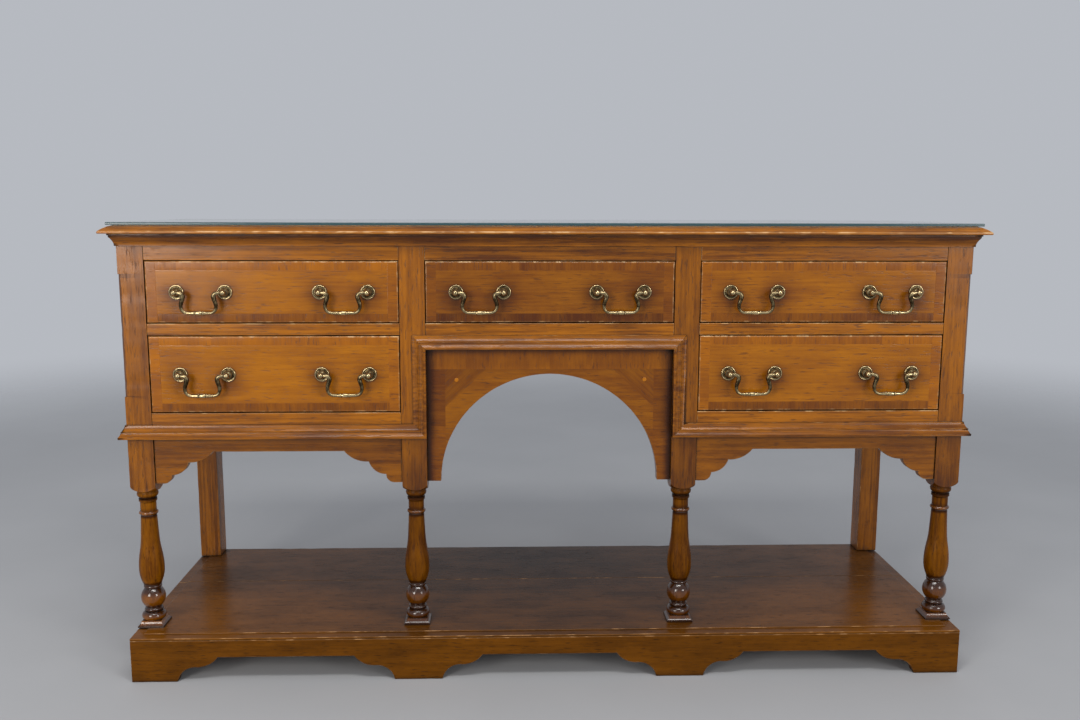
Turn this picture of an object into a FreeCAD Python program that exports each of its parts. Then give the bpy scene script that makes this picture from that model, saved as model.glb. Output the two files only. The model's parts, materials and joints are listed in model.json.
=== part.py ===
"""Oak dresser-base sideboard: five drawers round an arched kneehole, turned legs and a potboard.

Millimetres. +Z is up, the front faces -Y, and the origin is on the floor under the middle.
"""
import FreeCAD, Part
import math
import os
from types import SimpleNamespace

import Sketcher

DIMENSIONS = {
    # Levels above the floor
    "plinth_top": 82,
    "lip_top": 86,
    "potboard_under": 67,
    "potboard_top": 88,
    "block_bottom": 354.5,
    "scallop_bottom": 371,
    "apron_bottom": 432,
    "waist_bottom": 459.3,
    "lower_row_bottom": 507,
    "lower_row_top": 652,
    "upper_row_bottom": 674.5,
    "upper_row_top": 790,
    "kneehole_rail_bottom": 626.5,
    "carcase_top": 838.5,
    "side_rail_bottom": 440,
    # Plan
    "front_depth": 202,
    "back_depth": 250,
    "corner_axis": 764,
    "inner_axis": 255,
    "post": 47,
    "rear_leg_width": 45,
    "rear_leg_depth": 48,
    "plinth_half": 788,
    "plinth_depth": 250,
    "plank_joint": 40,
    # Top and glass
    "top_overhang": 24.5,
    "top_lip": 4.5,
    "top_slope": 21,
    "top_round": 55,
    "top_thickness": 15.5,
    "glass_inset": 12,
    "glass_back_inset": 2,
    "glass_thickness": 5,
    "glass_chamfer": 1,
    # Board thicknesses
    "plinth_board": 20,
    "apron_board": 18,
    "apron_set_back": 3,
    "arch_set_back": 12,
    "side_board": 10,
    "side_board_inset": 9.5,
    "side_rail_board": 22,
    "side_rail_inset": 1.5,
    "back_board": 10,
    "back_board_inset": 2,
    "back_rail_board": 24,
    "back_rail_height": 45.5,
    "partition_board": 20,
    # Arch, apron lobes and plinth feet
    "arch_radius": 206,
    "lobe_flat": 14,
    "lobe_low_run": 31,
    "lobe_low_drop": 45,
    "lobe_low_radius": 16,
    "lobe_mid_run": 63,
    "lobe_mid_drop": 20.5,
    "lobe_mid_radius": 34,
    "lobe_high_run": 109,
    "lobe_high_radius": 55,
    "foot_width": 86,
    "middle_foot_axis": 249,
    "middle_foot_half": 45.5,
    "foot_rise": 47.5,
    "ogee_run": 76,
    "ogee_turn_run": 38,
    "ogee_turn_rise": 28,
    "ogee_cove": 34,
    "ogee_ovolo": 46,
    # Mouldings
    "waist_width": 25.5,
    "waist_lip": 13,
    "waist_lip_start": 21.6,
    "waist_lip_line": 230.5,
    "waist_edge": 2.4,
    "waist_edge_end": 2,
    "waist_slope": 7.6,
    "waist_slope_end": 11.5,
    "waist_slope_round": 24,
    "waist_fillet": 8.8,
    "waist_fillet_end": 13.5,
    "waist_quirk": 8,
    "waist_cove": 18,
    "cornice_width": 22.5,
    "cornice_lip": 11.5,
    "cornice_lip_end": 3.2,
    "cornice_step": 9.6,
    "cornice_step_end": 6.2,
    "cornice_foot": 2.6,
    "cornice_foot_start": 19,
    "cornice_cove": 26,
    # Turned leg, heights above the potboard
    "pad_size": 49,
    "pad_edge": 3,
    "pad_hollow": 5.5,
    "pad_round": 12,
    "pad_rise": 11,
    "cup_foot": 19,
    "cup_foot_round": 8.6,
    "cup_radius": 22.6,
    "cup_wide_rise": 18,
    "cup_round": 10.1,
    "cup_rise": 27,
    "cup_top": 17,
    "foot_neck": 14.8,
    "cup_bead": 17.4,
    "cup_bead_rise": 34.5,
    "cup_bead_round": 4,
    "ball_foot_rise": 36.5,
    "ball_radius": 22.8,
    "ball_round": 24.8,
    "ball_top_rise": 73,
    "ball_bead": 16.8,
    "ball_bead_rise": 80,
    "ball_bead_round": 4.1,
    "vase_foot": 16.8,
    "vase_foot_rise": 82,
    "vase_radius": 23.5,
    "vase_wide_rise": 112,
    "vase_low_round": 70.5,
    "vase_turn_rise": 147,
    "vase_turn": 20.2,
    "vase_mid_round": 187,
    "vase_stem_rise": 175,
    "vase_stem": 16.9,
    "vase_stem_round": 198,
    "vase_top_rise": 219.5,
    "vase_neck": 14.8,
    "collar_rise": 226.5,
    "collar_radius": 17.8,
    "collar_round": 3.6,
    "ring_rise": 246,
    "ring_radius": 16.8,
    "ring_top_rise": 251,
    "bead_rise": 253.5,
    "bead_top_rise": 264,
    "bead_radius": 19.5,
    "bead_top": 18.5,
    "bead_round": 6,
    "shoulder_radius": 20.5,
    "shoulder_reach": 34,
    "shoulder_rise": 13,
    "shoulder_round": 24,
    "corner_chamfer": 5,
    "chamfer_bottom": 538,
    "chamfer_top": 765,
    # Drawers
    "drawer_gap": 1,
    "drawer_front": 22,
    "drawer_edge": 2,
    "drawer_side": 11,
    "drawer_back": 10,
    "drawer_bottom": 6,
    "drawer_bottom_rise": 8,
    "drawer_length": 385,
    "drawer_head_room": 12,
    "drawer_lift": 0.6,
    "runner_width": 20,
    "runner_height": 18,
    "guide_height": 40,
    "guide_gap": 0.3,
    # Handles
    "handle_offset": 130,
    "handle_centres": 88,
    "rose_radius": 13.5,
    "rose_rim": 1.2,
    "rose_step_radius": 9.6,
    "rose_step": 2.4,
    "boss_radius": 8,
    "boss_rise": 7.5,
    "boss_round": 6.5,
    "stem_radius": 3.6,
    "pivot_reach": 17,
    "knob_radius": 5.5,
    "knob_flat": 4.5,
    "bolt_radius": 2.5,
    "bolt_hole": 2.6,
    "bolt_length": 28,
    "nut_radius": 5.2,
    "nut_height": 4,
    "pin_radius": 2,
    "pin_length": 3.5,
    "pin_clearance": 0.05,
    "pin_hole_depth": 4.2,
    "bail_shoulder_gap": 0.3,
    "bail_rod": 2.9,
    "bail_drop": 37,
    "bail_elbow": 18,
    "bail_elbow_round": 5,
    "bail_flare": 11,
    "bail_flare_drop": 24,
    "bail_flare_round": 14,
    "bail_corner": 12.5,
    "bail_corner_round": 7,
    "grip_half": 16,
    "grip_swell": 3.5,
    "grip_ring_radius": 4.1,
    "grip_ring_half": 1.1,
    "grip_ring_offset": 5.5,
}

SIDES = {"left": -1, "right": 1}

doc = FreeCAD.newDocument("sideboard")


class Size:
    """A length that keeps its expression on the sheet beside its present value."""

    def __init__(self, text, number):
        self.text = text
        self.number = number

    def __add__(self, other):
        other = as_size(other)
        return Size(f"({self.text} + {other.text})", self.number + other.number)

    def __sub__(self, other):
        other = as_size(other)
        return Size(f"({self.text} - {other.text})", self.number - other.number)

    def __mul__(self, factor):
        return Size(f"({self.text} * {factor})", self.number * factor)

    def __truediv__(self, divisor):
        return Size(f"({self.text} / {divisor})", self.number / divisor)

    def __neg__(self):
        return self * -1

    __rmul__ = __mul__


def as_size(value):
    return value if isinstance(value, Size) else Size(str(value), value)


def make_sheet():
    """Write every driving dimension to the sheet and return them as named sizes."""
    sheet = doc.addObject("Spreadsheet::Sheet", "dims")
    for row, (name, value) in enumerate(DIMENSIONS.items(), start=1):
        sheet.set(f"A{row}", name)
        sheet.set(f"B{row}", str(value))
        sheet.setAlias(f"B{row}", name)
    doc.recompute()
    return SimpleNamespace(**{name: Size(f"dims.{name}", sheet.get(name)) for name in DIMENSIONS})


dim = make_sheet()

# Planes and lines that several pieces share
front = -dim.front_depth
rail_back = front + dim.post
back_rail_front = dim.back_depth - dim.back_board_inset - dim.back_board - dim.back_rail_board
back_board_front = back_rail_front + dim.back_rail_board
bay_outer = dim.corner_axis - dim.post / 2
bay_inner = dim.inner_axis + dim.post / 2
kneehole_half = dim.inner_axis - dim.post / 2
carcase_half = dim.corner_axis + dim.post / 2
rear_leg_front = dim.back_depth - dim.rear_leg_depth
rear_leg_inside = carcase_half - dim.rear_leg_width
waist_top = dim.waist_bottom + dim.waist_width
top_half = carcase_half + dim.top_overhang
top_front = front - dim.top_overhang
top_face = dim.carcase_top + dim.top_thickness


def bind(piece, prop, size):
    piece.setExpression(prop, as_size(size).text)


def mirrored(sign, low, high):
    """A pair of limits on X, carried over to the left when sign is negative."""
    return (low, high) if sign > 0 else (-as_size(high), -as_size(low))


def board(name, x, y, z):
    """A plain rectangular piece between three pairs of limits."""
    box = doc.addObject("Part::Box", name)
    box.Label = name
    for side, axis, (low, high) in zip(("Length", "Width", "Height"), "xyz", (x, y, z)):
        bind(box, side, as_size(high) - low)
        bind(box, f"Placement.Base.{axis}", low)
    return box


def group(name, pieces):
    """Several separate solids that share one node."""
    compound = doc.addObject("Part::Compound", name)
    compound.Label = name
    compound.Links = pieces
    return compound


def new_body(name, x=0, y=0, z=0):
    body = doc.addObject("PartDesign::Body", name)
    body.Label = name
    for axis, place in zip("xyz", (x, y, z)):
        bind(body, f"Placement.Base.{axis}", place)
    return body


def turn(body, axis, angle):
    """Turn a body about an axis through its own origin."""
    place = body.Placement
    place.Rotation = FreeCAD.Rotation(axis, angle)
    body.Placement = place


def sketch_on(body, role, name, offset=None):
    """A sketch on one of the body's origin planes, lifted along the plane's normal by offset."""
    sketch = body.newObject("Sketcher::SketchObject", name)
    plane = next(feature for feature in body.Origin.OriginFeatures if feature.Role == role)
    sketch.AttachmentSupport = [(plane, "")]
    sketch.MapMode = "FlatFace"
    if offset is not None:
        bind(sketch, "AttachmentOffset.Base.z", offset)
    return sketch


def pin_point(sketch, geometry, point, place):
    """Hold one point of a sketch at the bound place (u, v)."""
    axes = (("DistanceX", -2), ("DistanceY", -1))
    for (kind, axis), size in zip(axes, place):
        size = as_size(size)
        if size.number == 0:
            sketch.addConstraint(Sketcher.Constraint("PointOnObject", geometry, point, axis))
        else:
            rule = Sketcher.Constraint(kind, -1, 1, geometry, point, size.number)
            sketch.setExpression(f"Constraints[{sketch.addConstraint(rule)}]", size.text)


def arc_between(start, end, radius):
    """The arc under a half circle from start to end, and whether it runs anticlockwise."""
    chord = end - start
    height = math.sqrt(radius ** 2 - (chord.Length / 2) ** 2)
    across = FreeCAD.Vector(-chord.y, chord.x, 0).normalize()
    centre = (start + end) / 2 + across * math.copysign(height, radius)
    first, last = (start, end) if radius > 0 else (end, start)
    angles = [math.atan2(point.y - centre.y, point.x - centre.x) for point in (first, last)]
    circle = Part.Circle(centre, FreeCAD.Vector(0, 0, 1), abs(radius))
    return Part.ArcOfCircle(circle, *angles), radius > 0


def outline(sketch, corners):
    """Draw a closed outline through corners of (u, v) or (u, v, radius).

    A radius bends the stretch that arrives at its corner: above zero it turns left, below it right.
    """
    points = [FreeCAD.Vector(as_size(c[0]).number, as_size(c[1]).number, 0) for c in corners]
    ends = []
    for index, corner in enumerate(corners):
        start, end = points[index - 1], points[index]
        forward = True
        if len(corner) > 2:
            arc, forward = arc_between(start, end, as_size(corner[2]).number)
            stretch = sketch.addGeometry(arc)
            rule = Sketcher.Constraint("Radius", stretch, abs(as_size(corner[2]).number))
            place = sketch.addConstraint(rule)
            sketch.setExpression(f"Constraints[{place}]", f"abs({as_size(corner[2]).text})")
        else:
            stretch = sketch.addGeometry(Part.LineSegment(start, end))
        ends.append((stretch, 1 if forward else 2, 2 if forward else 1))
    for index, corner in enumerate(corners):
        stretch, _, finish = ends[index]
        following, begin, _ = ends[(index + 1) % len(ends)]
        sketch.addConstraint(Sketcher.Constraint("Coincident", stretch, finish, following, begin))
        pin_point(sketch, stretch, finish, corner[:2])


def rectangle(sketch, u, v):
    outline(sketch, [(u[0], v[0]), (u[1], v[0]), (u[1], v[1]), (u[0], v[1])])


def circle(sketch, u, v, radius):
    centre = FreeCAD.Vector(as_size(u).number, as_size(v).number, 0)
    ring = sketch.addGeometry(Part.Circle(centre, FreeCAD.Vector(0, 0, 1), as_size(radius).number))
    pin_point(sketch, ring, 3, (u, v))
    place = sketch.addConstraint(Sketcher.Constraint("Radius", ring, as_size(radius).number))
    sketch.setExpression(f"Constraints[{place}]", as_size(radius).text)


def pad(body, sketch, length, reverse=False):
    feature = body.newObject("PartDesign::Pad", sketch.Name + "_pad")
    feature.Profile = sketch
    feature.Reversed = reverse
    bind(feature, "Length", length)
    return feature


def cut_through(body, sketch):
    """Cut an outline through the whole body, both ways from its sketch."""
    feature = body.newObject("PartDesign::Pocket", sketch.Name + "_cut")
    feature.Profile = sketch
    feature.Type = "ThroughAll"
    feature.SideType = "Symmetric"
    return feature


def cut(body, sketch, depth, reverse=False):
    feature = body.newObject("PartDesign::Pocket", sketch.Name + "_cut")
    feature.Profile = sketch
    feature.Reversed = reverse
    bind(feature, "Length", depth)
    return feature


def edge_cut(body, role, name, edge, sign, levels, run, bend):
    """Cut a curved slope along one upper edge, between two levels and inward by run.

    Sign says which way along the plane the edge faces. A bend of that sign rounds the slope outward,
    and one of the other sign hollows it.
    """
    low, high = levels
    waste = sketch_on(body, role, name)
    outline(waste, [(edge, low), (edge - sign * run, high, bend), (edge, high)])
    cut_through(body, waste)


def spin(body, kind, sketch, axis_role):
    """A full turn of an outline about one of the body's axes: Revolution adds it, Groove cuts it."""
    feature = body.newObject(f"PartDesign::{kind}", sketch.Name + "_spin")
    feature.Profile = sketch
    axis = next(line for line in body.Origin.OriginFeatures if line.Role == axis_role)
    feature.ReferenceAxis = (axis, [""])
    feature.Angle = 360
    return feature


def soften(body, kind, size, chosen):
    """Fillet or chamfer those edges of the body whose middle point passes the test."""
    doc.recompute()
    base = body.Tip
    names = [
        f"Edge{number}" for number, edge in enumerate(base.Shape.Edges, start=1)
        if chosen(edge.BoundBox.Center)
    ]
    feature = body.newObject(f"PartDesign::{kind}", f"{body.Name}_{kind.lower()}")
    feature.Base = (base, names)
    bind(feature, "Radius" if kind == "Fillet" else "Size", size)
    return feature


def near(value, size):
    return abs(value - as_size(size).number) < 0.01


# Plinth and potboard

def foot_gap(low, high):
    """The ogee-ended gap between two feet, from its left corner to its right one."""
    turn_in, turn_out = dim.ogee_turn_run, dim.ogee_turn_rise
    return [
        (low, 0),
        (low + turn_in, turn_out, -dim.ogee_cove),
        (low + dim.ogee_run, dim.foot_rise, dim.ogee_ovolo),
        (high - dim.ogee_run, dim.foot_rise),
        (high - turn_in, turn_out, dim.ogee_ovolo),
        (high, 0, -dim.ogee_cove),
    ]


def plinth_front():
    half = dim.plinth_half
    inner = dim.middle_foot_axis - dim.middle_foot_half
    outer = dim.middle_foot_axis + dim.middle_foot_half
    end = half - dim.foot_width
    corners = [(-half, 0)]
    for low, high in ((-end, -outer), (-inner, inner), (outer, end)):
        corners += foot_gap(low, high)
    corners += [(half, 0), (half, dim.plinth_top), (-half, dim.plinth_top)]
    body = new_body("plinth_front", y=-dim.plinth_depth)
    sketch = sketch_on(body, "XZ_Plane", "plinth_front_outline")
    outline(sketch, corners)
    pad(body, sketch, dim.plinth_board, reverse=True)


def plinth_side(side, sign):
    low = dim.plinth_board - dim.plinth_depth
    high = dim.back_depth
    corners = [(low, 0)]
    corners += foot_gap(low + dim.foot_width - dim.plinth_board, high - dim.foot_width)
    corners += [(high, 0), (high, dim.plinth_top), (low, dim.plinth_top)]
    inside = dim.plinth_half - dim.plinth_board
    body = new_body(f"plinth_{side}_return", x=mirrored(sign, inside, dim.plinth_half)[0])
    sketch = sketch_on(body, "YZ_Plane", f"plinth_{side}_outline")
    outline(sketch, corners)
    pad(body, sketch, dim.plinth_board)
    return body


def plinth_returns():
    inside = dim.plinth_half - dim.plinth_board
    back = board(
        "plinth_back_board", (-inside, inside),
        (dim.back_depth - dim.plinth_board, dim.back_depth), (dim.foot_rise, dim.potboard_under))
    group("plinth_returns", [plinth_side(side, sign) for side, sign in SIDES.items()] + [back])


def potboard_plank(name, low, high, front_lip):
    """A plank let in between the plinth boards, with a thin lip that covers their top edges."""
    inside = dim.plinth_half - dim.plinth_board
    body = new_body(name)
    core = sketch_on(body, "XY_Plane", f"{name}_core", dim.potboard_under)
    rectangle(core, (-inside, inside), (low, high))
    pad(body, core, dim.potboard_top - dim.potboard_under)
    lip = sketch_on(body, "XY_Plane", f"{name}_lip", dim.plinth_top)
    rectangle(lip, (-dim.plinth_half, dim.plinth_half), (low - front_lip, high))
    pad(body, lip, dim.lip_top - dim.plinth_top)


# Legs

def bead(low, high, crown, neck, bend):
    """A rounded bead between two heights, from its crown back to the neck above it."""
    return [(crown, (low + high) / 2, bend), (neck, high, bend)]


def leg_turning():
    """Half outline of the turned stretch, from the foot pad up to the square block."""
    base = dim.potboard_top
    cup_rise = base + dim.cup_rise
    cup_bead_rise = base + dim.cup_bead_rise
    ball_foot = base + dim.ball_foot_rise
    ball_top = base + dim.ball_top_rise
    ball_bead_rise = base + dim.ball_bead_rise
    vase_top = base + dim.vase_top_rise
    return [
        (0, base + dim.pad_rise),
        (dim.cup_foot, base + dim.pad_rise),
        (dim.cup_radius, base + dim.cup_wide_rise, dim.cup_foot_round),
        (dim.cup_top, cup_rise, dim.cup_round),
        (dim.foot_neck, cup_rise),
        *bead(cup_rise, cup_bead_rise, dim.cup_bead, dim.foot_neck, dim.cup_bead_round),
        (dim.foot_neck, ball_foot),
        *bead(ball_foot, ball_top, dim.ball_radius, dim.foot_neck, dim.ball_round),
        *bead(ball_top, ball_bead_rise, dim.ball_bead, dim.foot_neck, dim.ball_bead_round),
        (dim.vase_foot, ball_bead_rise),
        (dim.vase_foot, base + dim.vase_foot_rise),
        (dim.vase_radius, base + dim.vase_wide_rise, dim.vase_low_round),
        (dim.vase_turn, base + dim.vase_turn_rise, dim.vase_mid_round),
        (dim.vase_stem, base + dim.vase_stem_rise, -dim.vase_stem_round),
        (dim.vase_neck, vase_top),
        *bead(vase_top, base + dim.collar_rise, dim.collar_radius, dim.vase_neck, dim.collar_round),
        (dim.vase_neck, base + dim.ring_rise),
        (dim.ring_radius, base + dim.ring_rise),
        (dim.ring_radius, base + dim.ring_top_rise),
        (dim.vase_neck, base + dim.ring_top_rise),
        (dim.vase_neck, base + dim.bead_rise),
        *bead(
            base + dim.bead_rise, base + dim.bead_top_rise, dim.bead_radius, dim.bead_top, dim.bead_round),
        (dim.bead_top, dim.block_bottom),
        (0, dim.block_bottom),
    ]


def turned_leg(name, x, chamfer_sign=0):
    """A front leg turned from one square blank, with an optional stopped chamfer on its outer edge."""
    half = dim.post / 2
    body = new_body(name, x=x, y=front + half)
    foot = sketch_on(body, "XY_Plane", f"{name}_pad", dim.potboard_top)
    rectangle(foot, (-dim.pad_size / 2, dim.pad_size / 2), (-dim.pad_size / 2, dim.pad_size / 2))
    pad(body, foot, dim.pad_rise)
    pad_levels = (dim.potboard_top + dim.pad_edge, dim.potboard_top + dim.pad_rise)
    for role in ("XZ_Plane", "YZ_Plane"):
        for side, sign in SIDES.items():
            edge_cut(
                body, role, f"{name}_pad_{role[:2]}_{side}", sign * dim.pad_size / 2, sign,
                pad_levels, dim.pad_hollow, -sign * dim.pad_round)
    turning = sketch_on(body, "XZ_Plane", f"{name}_turning")
    outline(turning, leg_turning())
    spin(body, "Revolution", turning, "Z_Axis")
    block = sketch_on(body, "XY_Plane", f"{name}_block", dim.block_bottom)
    rectangle(block, (-half, half), (-half, half))
    pad(body, block, dim.carcase_top - dim.block_bottom)
    shoulder = sketch_on(body, "XZ_Plane", f"{name}_shoulder")
    outside = dim.post
    shoulder_top = dim.block_bottom + dim.shoulder_rise
    outline(shoulder, [
        (outside, dim.block_bottom),
        (outside, shoulder_top),
        (dim.shoulder_reach, shoulder_top),
        (dim.shoulder_radius, dim.block_bottom, -dim.shoulder_round),
    ])
    spin(body, "Groove", shoulder, "Z_Axis")
    if chamfer_sign:
        edge = sketch_on(body, "XY_Plane", f"{name}_chamfer", dim.chamfer_bottom)
        corner = chamfer_sign * half
        outline(edge, [
            (corner, -half),
            (corner, dim.corner_chamfer - half),
            (chamfer_sign * (half - dim.corner_chamfer), -half),
        ])
        cut(body, edge, dim.chamfer_top - dim.chamfer_bottom, reverse=True)


def rear_leg(side, sign):
    board(
        f"rear_leg_{side}", mirrored(sign, rear_leg_inside, carcase_half),
        (rear_leg_front, dim.back_depth), (dim.potboard_top, dim.carcase_top))


# Carcase

def front_rails(name, bottom, top, bays):
    """One rail in each named bay, flush with the posts."""
    spans = {
        "left": (-bay_outer, -bay_inner),
        "centre": (-kneehole_half, kneehole_half),
        "right": (bay_inner, bay_outer),
    }
    group(name, [board(f"{name}_{bay}", spans[bay], (front, rail_back), (bottom, top)) for bay in bays])


def middle_rails():
    rows = (
        ("left", -bay_outer, -bay_inner, dim.lower_row_top),
        ("centre", -kneehole_half, kneehole_half, dim.kneehole_rail_bottom),
        ("right", bay_inner, bay_outer, dim.lower_row_top),
    )
    group("middle_rails", [
        board(f"middle_rail_{bay}", (low, high), (front, rail_back), (bottom, dim.upper_row_bottom))
        for bay, low, high, bottom in rows])


def apron(side, sign):
    """A frieze under the outer drawers, with three lobes stepping down to each post."""
    low, high = bay_inner, bay_outer
    straight = dim.apron_bottom
    foot = dim.scallop_bottom
    corners = [
        (low, foot),
        (low + dim.lobe_flat, foot),
        (low + dim.lobe_low_run, straight - dim.lobe_low_drop, dim.lobe_low_radius),
        (low + dim.lobe_mid_run, straight - dim.lobe_mid_drop, dim.lobe_mid_radius),
        (low + dim.lobe_high_run, straight, dim.lobe_high_radius),
        (high - dim.lobe_high_run, straight),
        (high - dim.lobe_mid_run, straight - dim.lobe_mid_drop, dim.lobe_high_radius),
        (high - dim.lobe_low_run, straight - dim.lobe_low_drop, dim.lobe_mid_radius),
        (high - dim.lobe_flat, foot, dim.lobe_low_radius),
        (high, foot),
        (high, dim.waist_bottom),
        (low, dim.waist_bottom),
    ]
    turned = [(sign * c[0], c[1], *(sign * radius for radius in c[2:])) for c in corners]
    body = new_body(f"apron_{side}", y=front + dim.apron_set_back)
    sketch = sketch_on(body, "XZ_Plane", f"apron_{side}_outline")
    outline(sketch, turned)
    pad(body, sketch, dim.apron_board, reverse=True)


def arch_panel():
    half = kneehole_half
    foot = dim.scallop_bottom
    radius = dim.arch_radius
    top = dim.kneehole_rail_bottom
    body = new_body("arch_panel", y=front + dim.arch_set_back)
    sketch = sketch_on(body, "XZ_Plane", "arch_outline")
    outline(sketch, [
        (-half, foot),
        (-radius, foot),
        (0, foot + radius, -radius),
        (radius, foot, -radius),
        (half, foot),
        (half, top),
        (-half, top),
    ])
    pad(body, sketch, dim.apron_board, reverse=True)


def side_frame(side, sign):
    """The end panel; its two rails are returned for the group of side rails."""
    between = (rail_back, rear_leg_front)
    panel_out = carcase_half - dim.side_board_inset
    board(
        f"side_panel_{side}", mirrored(sign, panel_out - dim.side_board, panel_out),
        between, (dim.lower_row_bottom, dim.upper_row_top))
    rail_out = carcase_half - dim.side_rail_inset
    across = mirrored(sign, rail_out - dim.side_rail_board, rail_out)
    return [
        board(f"side_rail_{side}_upper", across, between, (dim.upper_row_top, dim.carcase_top)),
        board(f"side_rail_{side}_lower", across, between, (dim.side_rail_bottom, dim.lower_row_bottom)),
    ]


def side_frames():
    rails = []
    for side, sign in SIDES.items():
        rails += side_frame(side, sign)
    group("side_rails", rails)


def carcase_back():
    """The back board, cut away behind the kneehole, and the rails that it is fixed to."""
    half = rear_leg_inside
    inner = dim.inner_axis - dim.partition_board / 2
    low, arch, top = dim.waist_bottom, dim.kneehole_rail_bottom, dim.carcase_top
    body = new_body("back_panel", y=back_board_front)
    sketch = sketch_on(body, "XZ_Plane", "back_panel_outline")
    outline(sketch, [
        (-half, low), (-inner, low), (-inner, arch), (inner, arch),
        (inner, low), (half, low), (half, top), (-half, top)])
    pad(body, sketch, dim.back_board, reverse=True)
    across = (back_rail_front, back_board_front)
    height = dim.back_rail_height
    outer = dim.inner_axis + dim.partition_board / 2
    rails = [
        board("back_rail_upper", (-half, half), across, (top - height, top)),
        board("back_rail_middle", (-inner, inner), across, (arch, arch + height)),
    ]
    rails += [
        board(f"back_rail_{side}", mirrored(sign, outer, half), across, (low, low + height))
        for side, sign in SIDES.items()]
    group("back_rails", rails)


def partition(side, sign):
    """A board from the front rails to the back board, notched round the upper back rail."""
    half = dim.partition_board / 2
    across = mirrored(sign, dim.inner_axis - half, dim.inner_axis + half)
    notch = dim.carcase_top - dim.back_rail_height
    body = new_body(f"partition_{side}", x=across[0])
    sketch = sketch_on(body, "YZ_Plane", f"partition_{side}_outline")
    outline(sketch, [
        (rail_back, dim.waist_bottom), (back_board_front, dim.waist_bottom), (back_board_front, notch),
        (back_rail_front, notch), (back_rail_front, dim.carcase_top), (rail_back, dim.carcase_top)])
    pad(body, sketch, dim.partition_board)


def runner_pair(name, wall_low, bay_low, bay_high, wall_high, row_bottom):
    """A runner under each drawer side and a guide beside it, from the front rail to the rear leg."""
    along = (rail_back, rear_leg_front)
    under = (row_bottom - dim.runner_height, row_bottom)
    beside = (row_bottom, row_bottom + dim.guide_height)
    return [
        board(f"{name}_runner_a", (wall_low, bay_low + dim.runner_width), along, under),
        board(f"{name}_runner_b", (bay_high - dim.runner_width, wall_high), along, under),
        board(f"{name}_guide_a", (wall_low, bay_low - dim.guide_gap), along, beside),
        board(f"{name}_guide_b", (bay_high + dim.guide_gap, wall_high), along, beside),
    ]


def drawer_runners():
    inner_wall = dim.inner_axis + dim.partition_board / 2
    outer_wall = carcase_half - dim.side_rail_inset - dim.side_rail_board
    knee_wall = dim.inner_axis - dim.partition_board / 2
    pieces = runner_pair(
        "upper_centre", -knee_wall, -kneehole_half, kneehole_half, knee_wall, dim.upper_row_bottom)
    for row, level in (("upper", dim.upper_row_bottom), ("lower", dim.lower_row_bottom)):
        pieces += runner_pair(f"{row}_left", -outer_wall, -bay_outer, -bay_inner, -inner_wall, level)
        pieces += runner_pair(f"{row}_right", inner_wall, bay_inner, bay_outer, outer_wall, level)
    group("drawer_runners", pieces)


# Mouldings

def waist_section():
    """An edge, a hollow slope, a fillet, a cove and a lip: projection and distance from the drawers."""
    points = [
        (0, 0),
        (dim.waist_edge, 0),
        (dim.waist_edge, dim.waist_edge_end),
        (dim.waist_slope, dim.waist_slope_end, -dim.waist_slope_round),
        (dim.waist_fillet, dim.waist_slope_end),
        (dim.waist_fillet, dim.waist_fillet_end),
        (dim.waist_quirk, dim.waist_fillet_end),
        (dim.waist_lip, dim.waist_lip_start, -dim.waist_cove),
        (dim.waist_lip, dim.waist_width),
        (0, dim.waist_width),
    ]
    return SimpleNamespace(points=points, depth=dim.waist_lip, width=dim.waist_width)


def cornice_section():
    """A lip, a step, a cove and a foot: projection and distance below the top board."""
    points = [
        (0, 0),
        (dim.cornice_lip, 0),
        (dim.cornice_lip, dim.cornice_lip_end),
        (dim.cornice_step, dim.cornice_lip_end),
        (dim.cornice_step, dim.cornice_step_end),
        (dim.cornice_foot, dim.cornice_foot_start, -dim.cornice_cove),
        (dim.cornice_foot, dim.cornice_width),
        (0, dim.cornice_width),
    ]
    return SimpleNamespace(points=points, depth=dim.cornice_lip, width=dim.cornice_width)


def moulding(name, section, length, start, end, x=0, y=0, z=0):
    """A run along X whose back is on the XZ plane, with its drawer edge on top and cut at both ends.

    An end is square, return (mitred round a corner in plan), out or in (mitred in elevation, with the
    lip on the outside or the inside of the corner).
    """
    spare = {"square": as_size(0), "in": as_size(0), "return": section.depth, "out": section.width}
    body = new_body(name, x=x, y=y, z=z)
    profile = sketch_on(body, "YZ_Plane", f"{name}_section", -spare[start])
    outline(profile, [(-as_size(p[0]), -as_size(p[1]), *p[2:]) for p in section.points])
    pad(body, profile, length + spare[start] + spare[end])
    for tag, kind, place, outward in (("start", start, as_size(0), -1), ("end", end, length, 1)):
        if kind == "square":
            continue
        plane = "XY_Plane" if kind == "return" else "XZ_Plane"
        waste = sketch_on(body, plane, f"{name}_{tag}")
        reach = section.depth if kind == "return" else section.width
        tip = place + reach * (-outward if kind == "in" else outward)
        third = (place, -reach) if kind == "in" else (tip, 0)
        outline(waste, [(place, 0), (tip, -reach), third])
        cut_through(body, waste)
    return body


def side_moulding(name, section, sign, z):
    """A run along one end of the carcase, mitred at the front corner."""
    length = dim.back_depth + dim.front_depth
    if sign < 0:
        body = moulding(name, section, length, "square", "return", -carcase_half, dim.back_depth, z)
    else:
        body = moulding(name, section, length, "return", "square", carcase_half, front, z)
    turn(body, FreeCAD.Vector(0, 0, 1), 90 * sign)
    return body


def cornice():
    section = cornice_section()
    pieces = [moulding(
        "cornice_front", section, carcase_half * 2, "return", "return",
        -carcase_half, front, dim.carcase_top)]
    pieces += [
        side_moulding(f"cornice_{side}", section, sign, dim.carcase_top) for side, sign in SIDES.items()]
    group("cornice", pieces)


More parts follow.
